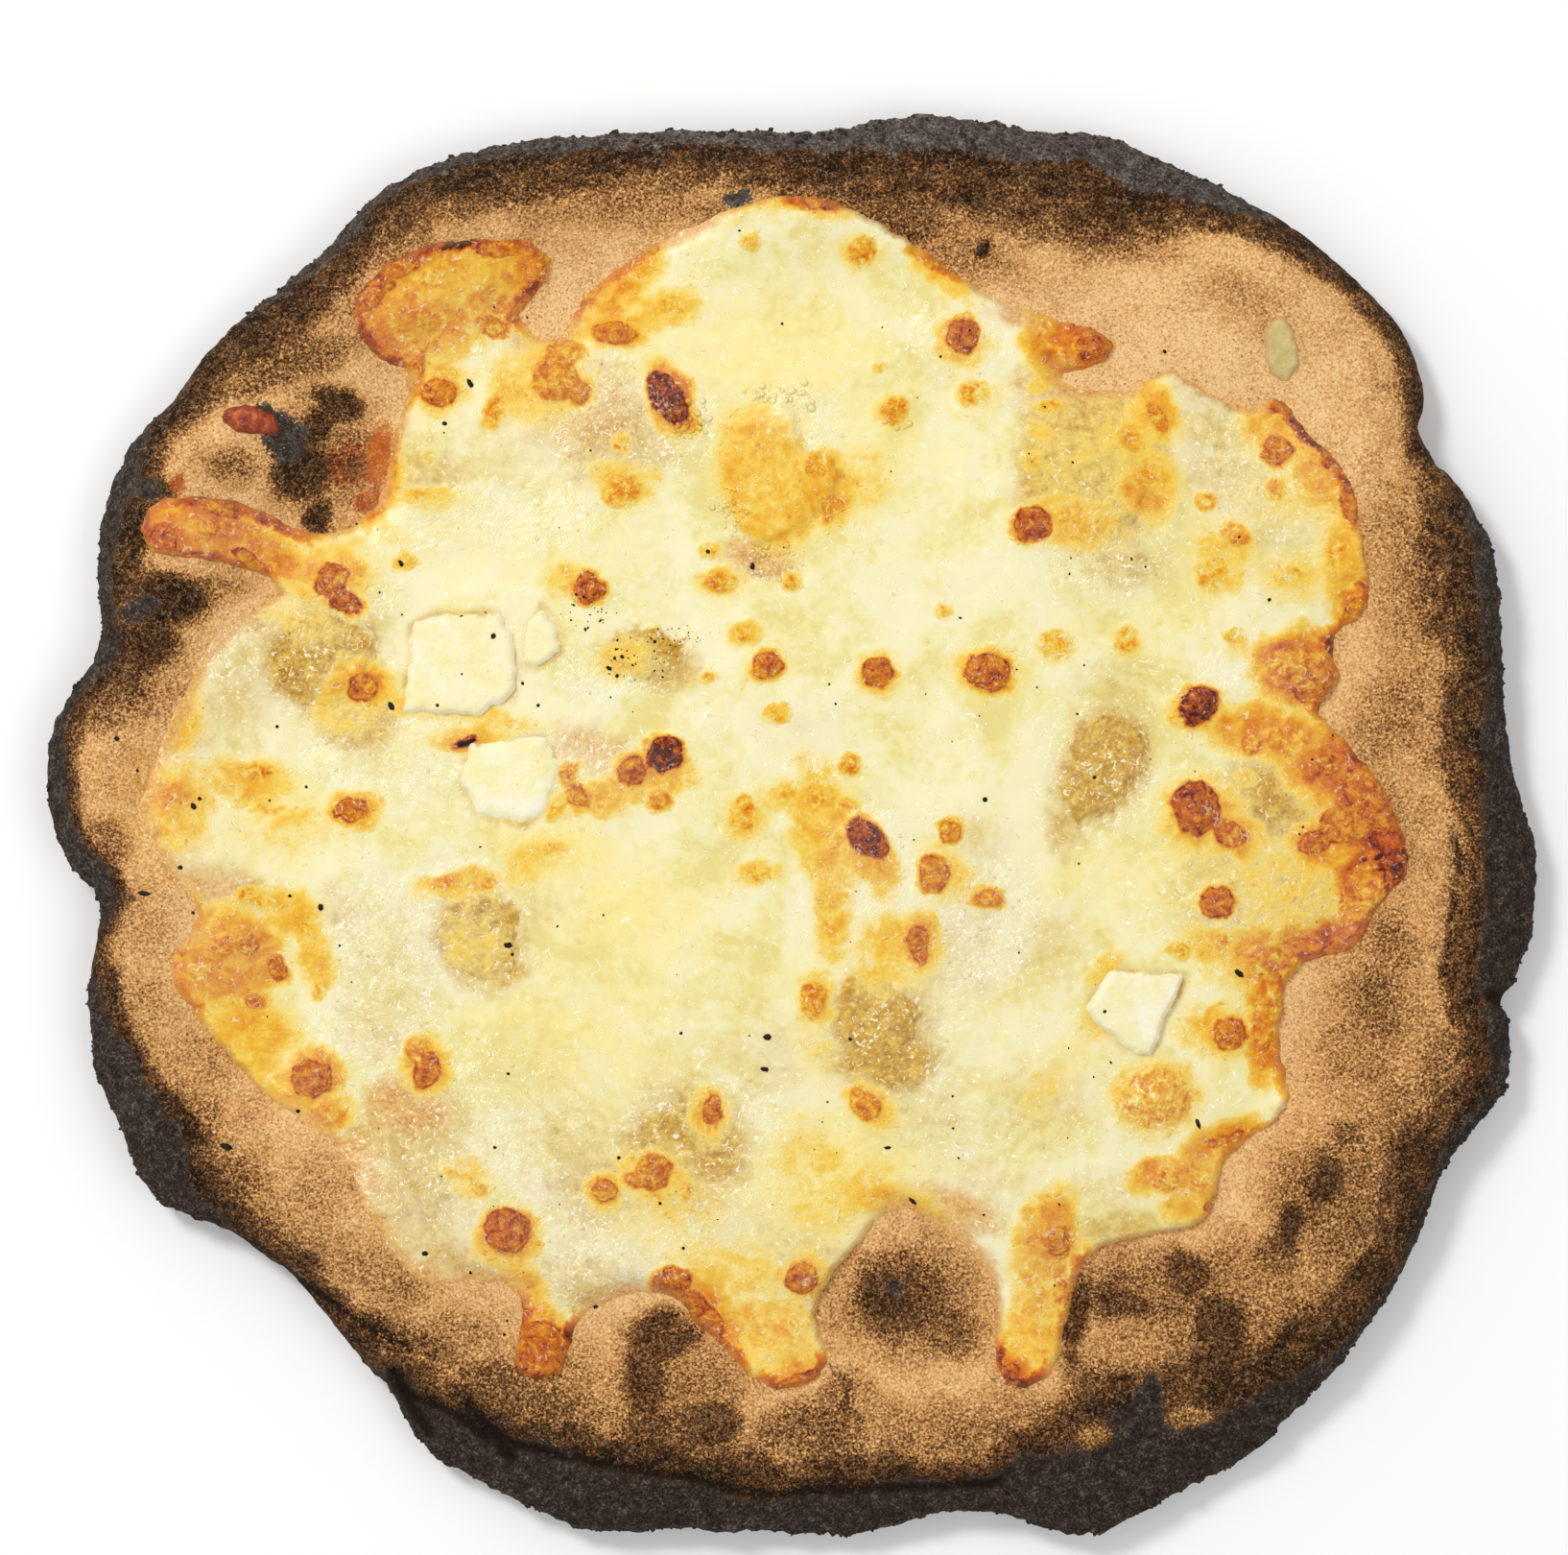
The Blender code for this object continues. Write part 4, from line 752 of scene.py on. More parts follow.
def crust_places(layers, rim, split):
    """Places in the bake's map of the layers' points and of the two middles."""
    lengths = np.zeros(layers.shape[:2])
    lengths[1:] = np.cumsum(np.linalg.norm(np.diff(layers, axis=0), axis=2), axis=0)
    upper = 1.0 - (lengths - lengths[split]) / (lengths[-1] + MIDDLE_LENGTH - lengths[split])
    lower = lengths / (lengths[split] + MIDDLE_LENGTH) + 0.05
    discs = [(SOLE_DISC, share) for share in lower[:split]] + [(TOP_DISC, share) for share in upper[split:]]
    spots = [centre + radius * rim.outwards * share[:, None] for (centre, radius), share in discs]
    return np.vstack(spots + [np.full((1, 2), centre) for centre, _ in (SOLE_DISC, TOP_DISC)])


def make_crust():
    tree = tree_of("crust")
    rim = Rim(tree)
    skin = crust_skin(tree, rim)
    core = [with_heights(tree, skin[-1][:, :2] * share) for share in CORE_SHARES]
    under = [np.column_stack([rim.inside(depth), np.zeros(CRUST_STEPS)]) for depth in UNDER_DEPTHS]
    layers = np.array(under[::-1] + list(skin) + core)
    points = np.vstack([*layers, [(0, 0, 0)], with_heights(tree, [(0, 0)])])
    index = np.arange(layers.shape[0] * CRUST_STEPS).reshape(-1, CRUST_STEPS)
    faces = [face for lower, upper in zip(index[:-1], index[1:]) for face in ring_faces(lower, upper)]
    bottom, top = len(points) - 2, len(points) - 1
    for i in range(CRUST_STEPS):
        j = (i + 1) % CRUST_STEPS
        faces.append((int(index[0][j]), int(index[0][i]), bottom))
        faces.append((int(index[-1][i]), int(index[-1][j]), top))
    crust = make_piece("crust_baked", points, faces, ["crust"], "baked_dough")

    split = len(under)
    below = np.zeros(len(points))
    below[index[:split]] = below[bottom] = 1.0
    below[index[split:split + len(SOLE_FADE)]] = np.array(SOLE_FADE)[:, None]
    paint = dough_paint(points, rim)
    paint.update({"char": paint["char"] * (1.0 - 0.6 * below), "below": below})
    store(crust, paint)
    set_map(crust, crust_places(layers, rim, split))
    return crust, tree_from(points, faces)


# ---------------------------------------------------------------- outlines and patches

def loop_distance(points, loop):
    """Distance from a closed line, negative inside it."""
    start, end = loop, np.roll(loop, -1, axis=0)
    result = np.zeros(len(points))
    for first in range(0, len(points), 4000):
        part = points[first:first + 4000]
        arm = part[:, None] - start[None]
        run = (end - start)[None]
        share = np.clip((arm * run).sum(2) / np.maximum((run ** 2).sum(2), 1e-12), 0.0, 1.0)
        away = np.sqrt(((arm - run * share[..., None]) ** 2).sum(2)).min(1)
        x, y = part[:, :1], part[:, 1:]
        (x0, y0), (x1, y1) = start.T, end.T
        rise = np.where(y1 == y0, 1e-9, y1 - y0)
        crossed = ((y0 > y) != (y1 > y)) & (x < (x1 - x0) * (y - y0) / rise + x0)
        result[first:first + 4000] = np.where(crossed.sum(1) % 2 == 1, -away, away)
    return result


def border_loop(faces):
    """Ordered points of the longest open border of a set of faces."""
    edges = {edge for face in faces for edge in zip(face, face[1:] + face[:1])}
    left = {}
    for a, b in sorted(edges):
        if (b, a) not in edges:
            left.setdefault(a, []).append(b)
    loops = []
    for first in sorted(left):
        if not left[first]:
            continue
        loop, here = [first], left[first].pop()
        while here != first:
            loop.append(here)
            here = left[here].pop()
        loops.append(loop)
    return max(loops, key=len)


@functools.cache
def packed_outline(node):
    """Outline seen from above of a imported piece, from its faces that look up."""
    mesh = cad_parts[node].data
    keys = {}
    merged = [keys.setdefault(tuple(np.round(np.array(vertex.co) / MM, 3)), len(keys))
              for vertex in mesh.vertices]
    unique = np.array(list(keys))
    faces = []
    for face in mesh.polygons:
        corners = [merged[i] for i in face.vertices]
        a, b, c = unique[corners[:3]]
        if np.cross(b - a, c - a)[2] > 1e-9:
            faces.append(corners)
    return unique[border_loop(faces)][:, :2]


def largest_area(keep):
    """The largest connected area of kept cells, without cells that hang on by a corner."""
    label, before = np.arange(1, keep.size + 1).reshape(keep.shape) * keep, None
    while not np.array_equal(label, before):      # the highest label spreads over each area
        before = label.copy()
        for here, there in ((label[1:], before[:-1]), (label[:-1], before[1:]),
                            (label[:, 1:], before[:, :-1]), (label[:, :-1], before[:, 1:])):
            np.maximum(here, there, out=here)
        label *= keep
    kept = label == np.bincount(label[keep]).argmax()
    for _ in range(4):
        rising, falling = kept[:-1, :-1] & kept[1:, 1:], kept[1:, :-1] & kept[:-1, 1:]
        gap_one = rising & ~kept[1:, :-1] & ~kept[:-1, 1:]
        gap_two = falling & ~kept[:-1, :-1] & ~kept[1:, 1:]
        kept[1:, :-1] |= gap_one
        kept[:-1, :-1] |= gap_two
    return kept


GRID_MARGIN = 2.0                   # mm of a patch's grid outside its outline
NEAR_EDGE, FAR_EDGE = 0.3, 1.2      # how far border points may lie outside and inside it, in steps


class Patch:
    """A grid of points inside an outline, whose outermost points lie on the outline itself."""

    def __init__(self, outline, step, fray, fray_size, lift):
        self.low, self.high = outline.min(axis=0) - GRID_MARGIN, outline.max(axis=0) + GRID_MARGIN
        grid = grid_over(self.low, self.high, step)
        flat = grid.reshape(-1, 2)
        edge = loop_distance(flat, outline) + fray * noise(flat, fray_size, 2, lift)
        edge = edge.reshape(grid.shape[:2])
        near = edge < NEAR_EDGE * step
        keep = largest_area(near[:-1, :-1] & near[1:, :-1] & near[:-1, 1:] & near[1:, 1:])
        used = np.zeros(near.shape, dtype=bool)
        for across, along in np.ndindex(2, 2):
            used[across:across + keep.shape[0], along:along + keep.shape[1]] |= keep
        index = np.full(used.shape, -1)
        index[used] = np.arange(used.sum())
        self.faces = [tuple(int(index[i + a, j + b]) for a, b in ((0, 0), (1, 0), (1, 1), (0, 1)))
                      for i, j in np.argwhere(keep)]
        self.points, self.inside = grid[used], -edge[used]
        slope = np.stack(np.gradient(edge, step), axis=-1)[used]
        slope /= np.maximum(np.linalg.norm(slope, axis=1)[:, None], 1e-6)
        self.loop = border_loop(self.faces)
        self.points[self.loop] += (
            slope[self.loop] * np.clip(self.inside[self.loop], -step, FAR_EDGE * step)[:, None])
        self.inside[self.loop] = 0.0
        self.inside = np.maximum(self.inside, 0.0)

    def closed(self, top, wall, hidden, hidden_height):
        """Points and faces of the closed piece: its top, a wall to the given heights and an
        underside through the hidden points."""
        first, border = len(self.points), len(self.loop)
        flat = np.vstack([self.points[self.loop], hidden])
        heights = np.concatenate([wall, hidden_height])
        edges = [(i, (i + 1) % border) for i in range(border)]
        made = delaunay_2d_cdt([Vector(p) for p in flat], edges, [list(range(border))], 1, 1e-7)
        if len(made[0]) != len(flat):
            raise ValueError("the border crosses itself")
        order = [origin[0] for origin in made[3]]
        faces = list(self.faces)
        for face in made[2]:
            a, b, c = (order[i] for i in face)
            ahead, beside = flat[b] - flat[a], flat[c] - flat[a]
            if ahead[0] * beside[1] - ahead[1] * beside[0] > 0:
                b, c = c, b
            faces.append((first + a, first + b, first + c))
        faces += ring_faces(np.arange(first, first + border), self.loop)
        points = np.vstack([np.column_stack([self.points, top]), np.column_stack([flat, heights])])
        return points, faces


def rounded(inside, reach):
    """Rise of a rounded edge: 0 on the outline, 1 from the given reach inwards."""
    return np.sqrt(1.0 - (1.0 - np.clip(inside / reach, 0.0, 1.0)) ** 2)


# ---------------------------------------------------------------- cheese

# Node of each piece in the sheet: name of its looks, slot, reach of its rounded edge, fray of its
# outline and roughness of its top, all in mm
SLICES = {
    "soft_cheese_slice": ("slice_large", "soft_cheese", 1.5, 0.6, 0.16),
    "soft_cheese_sliver": ("slice_sliver", "soft_cheese", 1.4, 0.6, 0.16),
    "soft_cheese_corner": ("slice_corner", "soft_cheese", 1.3, 0.5, 0.14),
    "fresh_cheese_slab": ("slab_smooth", "soft_cheese", 3.2, 0.6, 0.08),
}
LUMPS = {
    "blue_cheese_lump_back": ("lump_back", "blue_cheese", 4.5, 1.6, 0.40),
    "blue_cheese_lump_front": ("lump_front", "blue_cheese", 4.0, 1.5, 0.45),
    "blue_cheese_lump_left": ("lump_left", "blue_cheese", 4.0, 1.6, 0.50),
    "blue_cheese_lump_middle": ("lump_middle", "blue_cheese", 3.0, 1.6, 0.50),
    "blue_cheese_lump_right": ("lump_right", "blue_cheese", 3.6, 1.6, 0.42),
    "blue_cheese_lump_small": ("lump_small", "blue_cheese", 3.4, 1.5, 0.42),
    "yellow_cheese_piece": ("piece_yellow", "yellow_cheese", 2.6, 0.9, 0.22),
}
CHEESE_STEP = 0.84                  # spacing of the sheet's grid in mm
UNDER_STEP = 7.0                    # spacing of the points on its hidden side
UNDER_INSET = 3.0                   # these points stay this far inside the outline
UNDER_DEPTH, UNDER_LEAST = 1.6, 0.8 # and this deep in the dough, but not lower than this
WALL_DEPTH = 1.4                    # how far the sheet's wall goes down into the dough
SINK = 0.45                         # the sheet's edge lies this deep in the dough's skin
DOUGH_FLOOR = 4.0                   # height of the dough where no ray meets it
SEAT_DEPTH = 2.6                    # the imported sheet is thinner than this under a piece
SEAT_MARGIN = 2.6                   # and this far round it
BLISTER_REACH = 12.0                # pixels round a fried bubble that know its darkness


def slice_contact_shadow(points):
    """Painted contact shadow round the slices: 1 where the melted sheet meets a slice, 0 some millimetres
    away.
    """
    mark = np.zeros(len(points))
    for outline in map(packed_outline, SLICES):
        near = ((points > outline.min(axis=0) - 5) & (points < outline.max(axis=0) + 5)).all(axis=1)
        if near.any():
            away = np.abs(loop_distance(points[near], outline))
            mark[near] = np.maximum(mark[near], np.exp(-(away / 1.5) ** 2))
    return mark


def blister_shares(points):
    """For each fried bubble: how far out the points lie in it, its lesser half width, its darkness."""
    shaken = warped(to_pixels(points), 3.4, 13.0, 25.0)
    for x, y, wide, high, turn, level in BLISTERS:
        yield round_share(shaken, x, y, wide, high, turn), min(wide, high), level


def cheese_paint(points):
    """Everything that the cheese's material reads, at points (x, y in mm)."""
    shaken = warped(warped(to_pixels(points), 7.0, 36.0, 21.0), 2.5, 11.0, 22.0)
    tan = strongest(shaken, [(*ellipse, level, soft) for *ellipse, level, _, soft in GLASSY])
    pink = strongest(shaken, [(*ellipse, level, soft) for *ellipse, _, level, soft in GLASSY])
    # painted shadow: a tan band in the sheet round each slice, as if the slice cast shade on it
    tan = np.maximum(tan, slice_contact_shadow(points) * (0.38 + 0.3 * noise(points, 6.0, 1, 26.0)))
    blister, dark = np.full(len(points), 30.0), np.zeros(len(points))
    for share, half_width, level in blister_shares(points):
        away = (share - 1.0) * half_width
        nearer = away < blister
        blister = np.where(nearer, away, blister)
        dark = np.where(nearer & (away < BLISTER_REACH), level, dark)
    none = np.zeros(len(points))
    return {"fry": strongest(shaken, FRIED), "yellow": strongest(shaken, upright(YELLOW, 0.95)),
            "tan": tan, "pink": pink, "wet": strongest(shaken, upright(WET, 0.7)),
            "blister": blister * PIXEL, "dark": dark, "fade": none, "brown_edge": none}


def blister_relief(points):
    """Height of the fried bubbles over the sheet, in mm."""
    relief = np.zeros(len(points))
    for share, half_width, level in blister_shares(points):
        size = half_width * PIXEL
        dome = np.clip(1.0 - share ** 2, 0.0, 1.0) ** 0.7
        ditch = np.exp(-((share - 1.25) / 0.22) ** 2)
        rise = 0.32 * size * smooth_step((level - 0.3) / 0.4)
        relief = np.maximum(relief, rise * dome) - 0.05 * size * ditch * (level > 0.6)
    return relief


def cheese_grain(points, paint):
    """The sheet's own small relief, in mm."""
    relief = 0.16 * noise(points, 4.2, 2, 34.0) + 0.35 * noise(points, 13.0, 2, 35.0)
    relief += np.clip(paint["fry"] * 2.0, 0.0, 1.0) * 0.22 * noise(points, 2.4, 2, 36.0)
    on_blister = smooth_step(0.5 - paint["blister"] / 0.8)
    relief += on_blister * 0.22 * np.abs(noise(points, 1.9, 2, 37.0))
    return relief + blister_relief(points)


def cheese_thickness(patch):
    """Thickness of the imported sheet, with the seats of the pieces filled in."""
    crust, sheet = tree_of("crust"), tree_of("cheese")
    corners = [np.array(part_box(node))[:, :2] / MM for node in (*SLICES, *LUMPS)]

    def measured(points):
        depth = drop(sheet, points) - drop(crust, points)
        for low, high in corners:
            over = ((points > low - SEAT_MARGIN) & (points < high + SEAT_MARGIN)).all(axis=1)
            depth[over & (depth < SEAT_DEPTH)] = np.nan
        return depth

    return HeightMap(patch.low, patch.high, 1.6, measured, 2.6)(patch.points)


def make_cheese(crust_tree):
    outline = packed_outline("cheese")
    patch = Patch(outline, CHEESE_STEP, 0.55, 4.0, 31.0)
    points, inside = patch.points, patch.inside
    paint = cheese_paint(points)
    places = to_pixels(points)
    fade, brown = near_lines(places, FADING_EDGES), strongest(places, upright(BROWN_EDGES, 0.35))

    ground = drop(crust_tree, points, DOUGH_FLOOR)
    soft_ground = HeightMap(patch.low, patch.high, 1.6, lambda p: drop(crust_tree, p), 2.4)(points)
    base = ground + (soft_ground - ground) * smooth_step(inside / 3.5)
    rise = rounded(inside, 1.7 + 7.0 * fade + 0.6 * noise(points, 6.0, 1, 33.0))
    full = cheese_thickness(patch) * (1.0 - 0.55 * fade * (1.0 - smooth_step(inside / 9.0)))
    full *= 1.0 - 0.5 * brown * (1.0 - smooth_step((inside - 4.0) / 8.0))
    relief = cheese_grain(points, paint)
    top = base - SINK * (1.0 - rise) + full * rise + relief * smooth_step(inside / 1.6)

    hidden = grid_over(patch.low, patch.high, UNDER_STEP).reshape(-1, 2)
    hidden = hidden[loop_distance(hidden, outline) < -UNDER_INSET]
    hidden_height = np.maximum(drop(crust_tree, hidden, DOUGH_FLOOR) - UNDER_DEPTH, UNDER_LEAST)
    whole, faces = patch.closed(top, ground[patch.loop] - WALL_DEPTH, hidden, hidden_height)
    cheese = make_piece("cheese_melted", whole, faces, ["cheese"], "melted_cheese")
    paint.update({"edge": inside, "fade": fade, "brown_edge": brown})
    store(cheese, paint)
    spots = (whole[:, :2] - patch.low) / (max(patch.high - patch.low) * 1.02) + 0.01
    spots[len(top):] = spots[len(top):] * 0.06 + 0.93     # the hidden side, in a corner of the map
    set_map(cheese, spots)
    return cheese, tree_from(np.column_stack([points, top]), patch.faces)


# ---------------------------------------------------------------- slices, lumps and scraps

PIECE_STEP = 0.5                    # spacing of a piece's grid in mm
LUMP_EDGE = 4.0                     # mm by which a lump's edge counts as further in, so it isn't thin
LUMP_SINK, SLICE_SINK = 0.08, 0.35  # how far the edges lie below the sheet's top
LEAST_RISE = 0.35                   # how far a piece's middle stands out of the sheet at least
TOP_SPACING, TOP_BLUR = 0.7, 0.9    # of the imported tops' height maps, in mm
MISSED_SHEET, MISSED_DOUGH = 7.0, 8.0    # heights where no ray meets the surface below a piece
RIND_LINES = {                      # a slice's darker rind: points, width in pixels
    "soft_cheese_corner": (((1122, 1050), (1140, 1072), (1160, 1090), (1188, 1106)), 5.0),
    "fresh_cheese_slab": (((498, 776), (506, 768), (520, 766)), 4.0),
    "soft_cheese_sliver": (((583, 685), (568, 694), (548, 704)), 4.0),
}


def packed_top(node, patch):
    """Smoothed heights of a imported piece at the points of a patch."""
    tree = tree_of(node)
    heights = HeightMap(patch.low, patch.high, TOP_SPACING, lambda p: drop(tree, p), TOP_BLUR)
    return heights(patch.points)


def make_cover(node, name, slot, patch, height, wall, floor):
    """A piece with the given top, a wall down to the given heights and a floor under its middle."""
    whole, faces = patch.closed(height, wall, [patch.points.mean(axis=0)], [floor])
    return make_piece(name, whole, faces, [node], slot)


def make_topping(node, looks, sheet_tree, lift):
    """A piece that lies in the melted sheet: its edge is sunk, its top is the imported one's."""
    name, slot, reach, fray, rough = looks
    patch = Patch(packed_outline(node), PIECE_STEP, fray, 3.2, lift)
    points, inside = patch.points, patch.inside
    sheet = drop(sheet_tree, points, MISSED_SHEET)
    is_lump = node in LUMPS
    if is_lump:
        sunk, rise = LUMP_SINK, smooth_step(inside / reach)
    else:
        sunk, rise = SLICE_SINK, rounded(inside, reach)
    top = np.maximum(packed_top(node, patch), sheet + LEAST_RISE)
    height = sheet - sunk + (top - sheet + sunk) * rise
    grain = rough * (noise(points, 2.6, 3, lift + 1.0) + 0.5 * noise(points, 7.0, 1, lift + 2.0))
    height += grain * smooth_step(inside / 1.2)
    piece = make_cover(node, name, slot, patch, height, sheet[patch.loop] - 1.0, np.min(sheet) - 1.2)
    paint = cheese_paint(points)
    if slot == "blue_cheese":
        body = 0.9 * smooth_step(inside / 2.5) + 0.35 * noise(points, 5.0, 2, lift + 3.0)
        paint["tan"] = np.maximum(paint["tan"], np.clip(body, 0.0, 1.0) * smooth_step(inside / 1.5))
    rind = near_line(to_pixels(points), *RIND_LINES[node]) if node in RIND_LINES else 0.0 * inside
    paint.update({"edge": inside + LUMP_EDGE * is_lump, "rind": rind, "side": inside})
    store(piece, paint)
    return piece


def make_scrap(node, name, slot, crust_tree, lift):
    """A thin scrap that lies on the dough by itself."""
    patch = Patch(packed_outline(node), PIECE_STEP, 0.5, 2.6, lift)
    points, inside = patch.points, patch.inside
    ground = drop(crust_tree, points, MISSED_DOUGH)
    top = np.maximum(packed_top(node, patch), ground + 0.3)
    height = ground - 0.25 + (top - ground + 0.25) * rounded(inside, 1.6)
    height += 0.2 * noise(points, 1.8, 2, lift + 1.0) * smooth_step(inside)
    low = ground[patch.loop] - 0.9
    piece = make_cover(node, name, slot, patch, height, low, low.min() - 0.3)
    store(piece, {"side": inside})
    return piece


# ---------------------------------------------------------------- bubbles, pepper and crumbs

FROTH_DENSITY = 0.012               # bubbles for one square pixel of a wet place
CRUMB_COUNT = 1800
STRAY_AREA = (800, 840, 600, 600)   # where stray pepper falls: x, y, half width, half height
BUBBLE_SEED, PEPPER_SEED, CRUMB_SEED = 7, 11, 13


def scattered(name, slot, shapes):
    """One mesh from many small ones, each given as points and faces."""
    points, faces, first = [], [], 0
    for shape_points, shape_faces in shapes:
        points.append(shape_points)
        faces += [tuple(first + i for i in face) for face in shape_faces]
        first += len(shape_points)
    return make_piece(name, np.vstack(points), faces, [], slot)


def dome_shape(sides, rings):
    """A unit dome with a closed, pointed underside."""
    points = [(0.0, 0.0, 1.0)]
    for ring in range(1, rings + 1):
        turn = 0.5 * math.pi * ring / rings
        for side in range(sides):
            angle = 2 * math.pi * (side + 0.5 * (ring % 2)) / sides
            points.append((math.sin(turn) * math.cos(angle), math.sin(turn) * math.sin(angle),
                           math.cos(turn)))
    foot = len(points)
    points.append((0.0, 0.0, -0.8))
    faces = [(0, 1 + side, 1 + (side + 1) % sides) for side in range(sides)]
    for ring in range(rings - 1):
        near = 1 + ring * sides
        for side in range(sides):
            a, b = near + side, near + (side + 1) % sides
            c, d = a + sides, b + sides
            faces += [(a, c, d), (a, d, b)] if ring % 2 else [(a, c, b), (b, c, d)]
    faces += [(foot - sides + (side + 1) % sides, foot - sides + side, foot) for side in range(sides)]
    return np.array(points), faces


def surface_at(trees, x, y):
    """The highest point of the surfaces under a place in the photograph, or None."""
    spot = Vector(((x - CENTRE_PIXEL[0]) * PIXEL, (CENTRE_PIXEL[1] - y) * PIXEL, SKY))
    hits = [tree.ray_cast(spot, DOWN)[0] for tree in trees]
    return max((hit for hit in hits if hit is not None), key=lambda hit: hit.z, default=None)


def spot_in(draw, x, y, wide, high):
    """A random place in an ellipse."""
    angle, reach = draw.uniform(0, 2 * math.pi), math.sqrt(draw.uniform(0, 1))
    return x + wide * reach * math.cos(angle), y + high * reach * math.sin(angle)


def make_bubbles(trees):
    """Foam and wet froth: small domes on the cheese."""
    draw = np.random.default_rng(BUBBLE_SEED)
    spots = []
    for *area, count, largest in FOAM:
        for _ in range(count):
            spots.append((*spot_in(draw, *area), 0.9 + (largest - 0.9) * draw.uniform(0, 1) ** 2.2))
    for x, y, wide, high, amount in WET:
        for _ in range(int(wide * high * amount * FROTH_DENSITY)):
            spots.append((*spot_in(draw, x, y, wide, high), 0.7 + 1.5 * draw.uniform(0, 1) ** 3))
    unit, faces = dome_shape(7, 3)
    shapes = []
    for x, y, size in spots:
        spot = surface_at(trees, x, y)
        if spot is not None:
            radius = size * PIXEL
            shape = unit * (radius, radius, radius * draw.uniform(0.5, 0.8))
            shapes.append((shape + np.array(spot) - (0, 0, 0.1 * radius), faces))
    bubbles = scattered("cheese_bubbles", "melted_cheese", shapes)
    paint = cheese_paint(vertices_of(bubbles)[:, :2])
    paint.update({"dark": paint["dark"] * 0.9, "edge": np.full(len(paint["dark"]), 9.0)})
    store(bubbles, paint)
    return bubbles


def rock_shape(draw, lumpy):
    """An uneven grain about one unit across."""
    unit, faces = dome_shape(6, 2)
    unit = unit * (1.0, 1.0, 0.8)
    return unit * (1.0 + lumpy * draw.uniform(-1, 1, size=(len(unit), 1))), faces


def turned(points, angle):
    across, along = math.cos(angle), math.sin(angle)
    return points @ np.array([(across, along, 0), (-along, across, 0), (0, 0, 1)])


def make_pepper(trees):
    draw = np.random.default_rng(PEPPER_SEED)
    grains = list(PEPPER)
    for *area, count, largest in PEPPER_CLOUDS:
        for _ in range(count):
            grains.append((*spot_in(draw, *area), 0.7 + (largest - 0.7) * draw.uniform(0, 1) ** 3,
                           draw.uniform(1, 1.6), draw.uniform(0, 180)))
    for _ in range(STRAY_PEPPER):
        grains.append((*spot_in(draw, *STRAY_AREA), draw.uniform(0.7, 1.5), draw.uniform(1, 1.5),
                       draw.uniform(0, 180)))
    shapes = []
    for x, y, size, stretch, turn in grains:
        spot = surface_at(trees, x, y)
        if spot is not None:
            shape, faces = rock_shape(draw, 0.22)
            radius = size * PIXEL
            shape = shape * (radius * stretch, radius / stretch ** 0.3, 0.55 * radius)
            shapes.append((turned(shape, math.radians(-turn)) + np.array(spot), faces))
    return scattered("pepper_specks", None, shapes)


def make_crumbs(crust, crust_tree):
    """Cindery crumbs on the charred wall."""
    draw = np.random.default_rng(CRUMB_SEED)
    places, normals = vertices_of(crust), vertices_of(crust, "normal", 1.0)
    char = np.zeros(len(places), dtype=np.float32)
    crust.data.attributes["char"].data.foreach_get("value", char)
    able = np.flatnonzero((char > 0.5) & (places[:, 2] > 1.2) & (normals[:, 2] > -0.4))
    shapes = []
    for pick in draw.choice(able, size=CRUMB_COUNT, replace=False):
        shape, faces = rock_shape(draw, 0.35)
        radius = 0.22 + 0.55 * draw.uniform(0, 1) ** 4
        shape = turned(shape * (radius * draw.uniform(0.8, 1.5), radius, 0.8 * radius),
                       draw.uniform(0, math.pi))
        spot = places[pick] - normals[pick] * 0.25 * radius
        shapes.append((shape + (spot[0], spot[1], max(spot[2], radius)), faces))
    return scattered("char_crumbs", "baked_dough", shapes)


# ---------------------------------------------------------------- materials

def srgb(red, green, blue):
    """Colour as seen on screen, from 0 to 255, as the shader's linear values."""
    values = np.array([red, green, blue]) / 255.0
    linear = np.where(values <= 0.04045, values / 12.92, ((values + 0.055) / 1.055) ** 2.4)
    return (*linear, 1.0)


class Value:
    """The result of a shader node, which can be added, multiplied and so on like a number."""

    def __init__(self, nodes, socket):
        self.nodes, self.socket = nodes, socket

    def __add__(self, other):
        return self.nodes.math("ADD", self, other)

    __radd__ = __add__

    def __sub__(self, other):
        return self.nodes.math("SUBTRACT", self, other)

    def __rsub__(self, other):
        return self.nodes.math("SUBTRACT", other, self)

    def __mul__(self, other):
        return self.nodes.math("MULTIPLY", self, other)

    def __truediv__(self, other):
        return self.nodes.math("DIVIDE", self, other)

    def __abs__(self):
        return self.nodes.math("ABSOLUTE", self)

    def swing(self, size, middle=0.5):
        """Turns noise from 0 to 1 into noise about 0, of the given size."""
        return (self - middle) * size

    def clamped(self):
        """Keeps a sum between 0 and 1."""
        self.socket.node.use_clamp = True
        return self


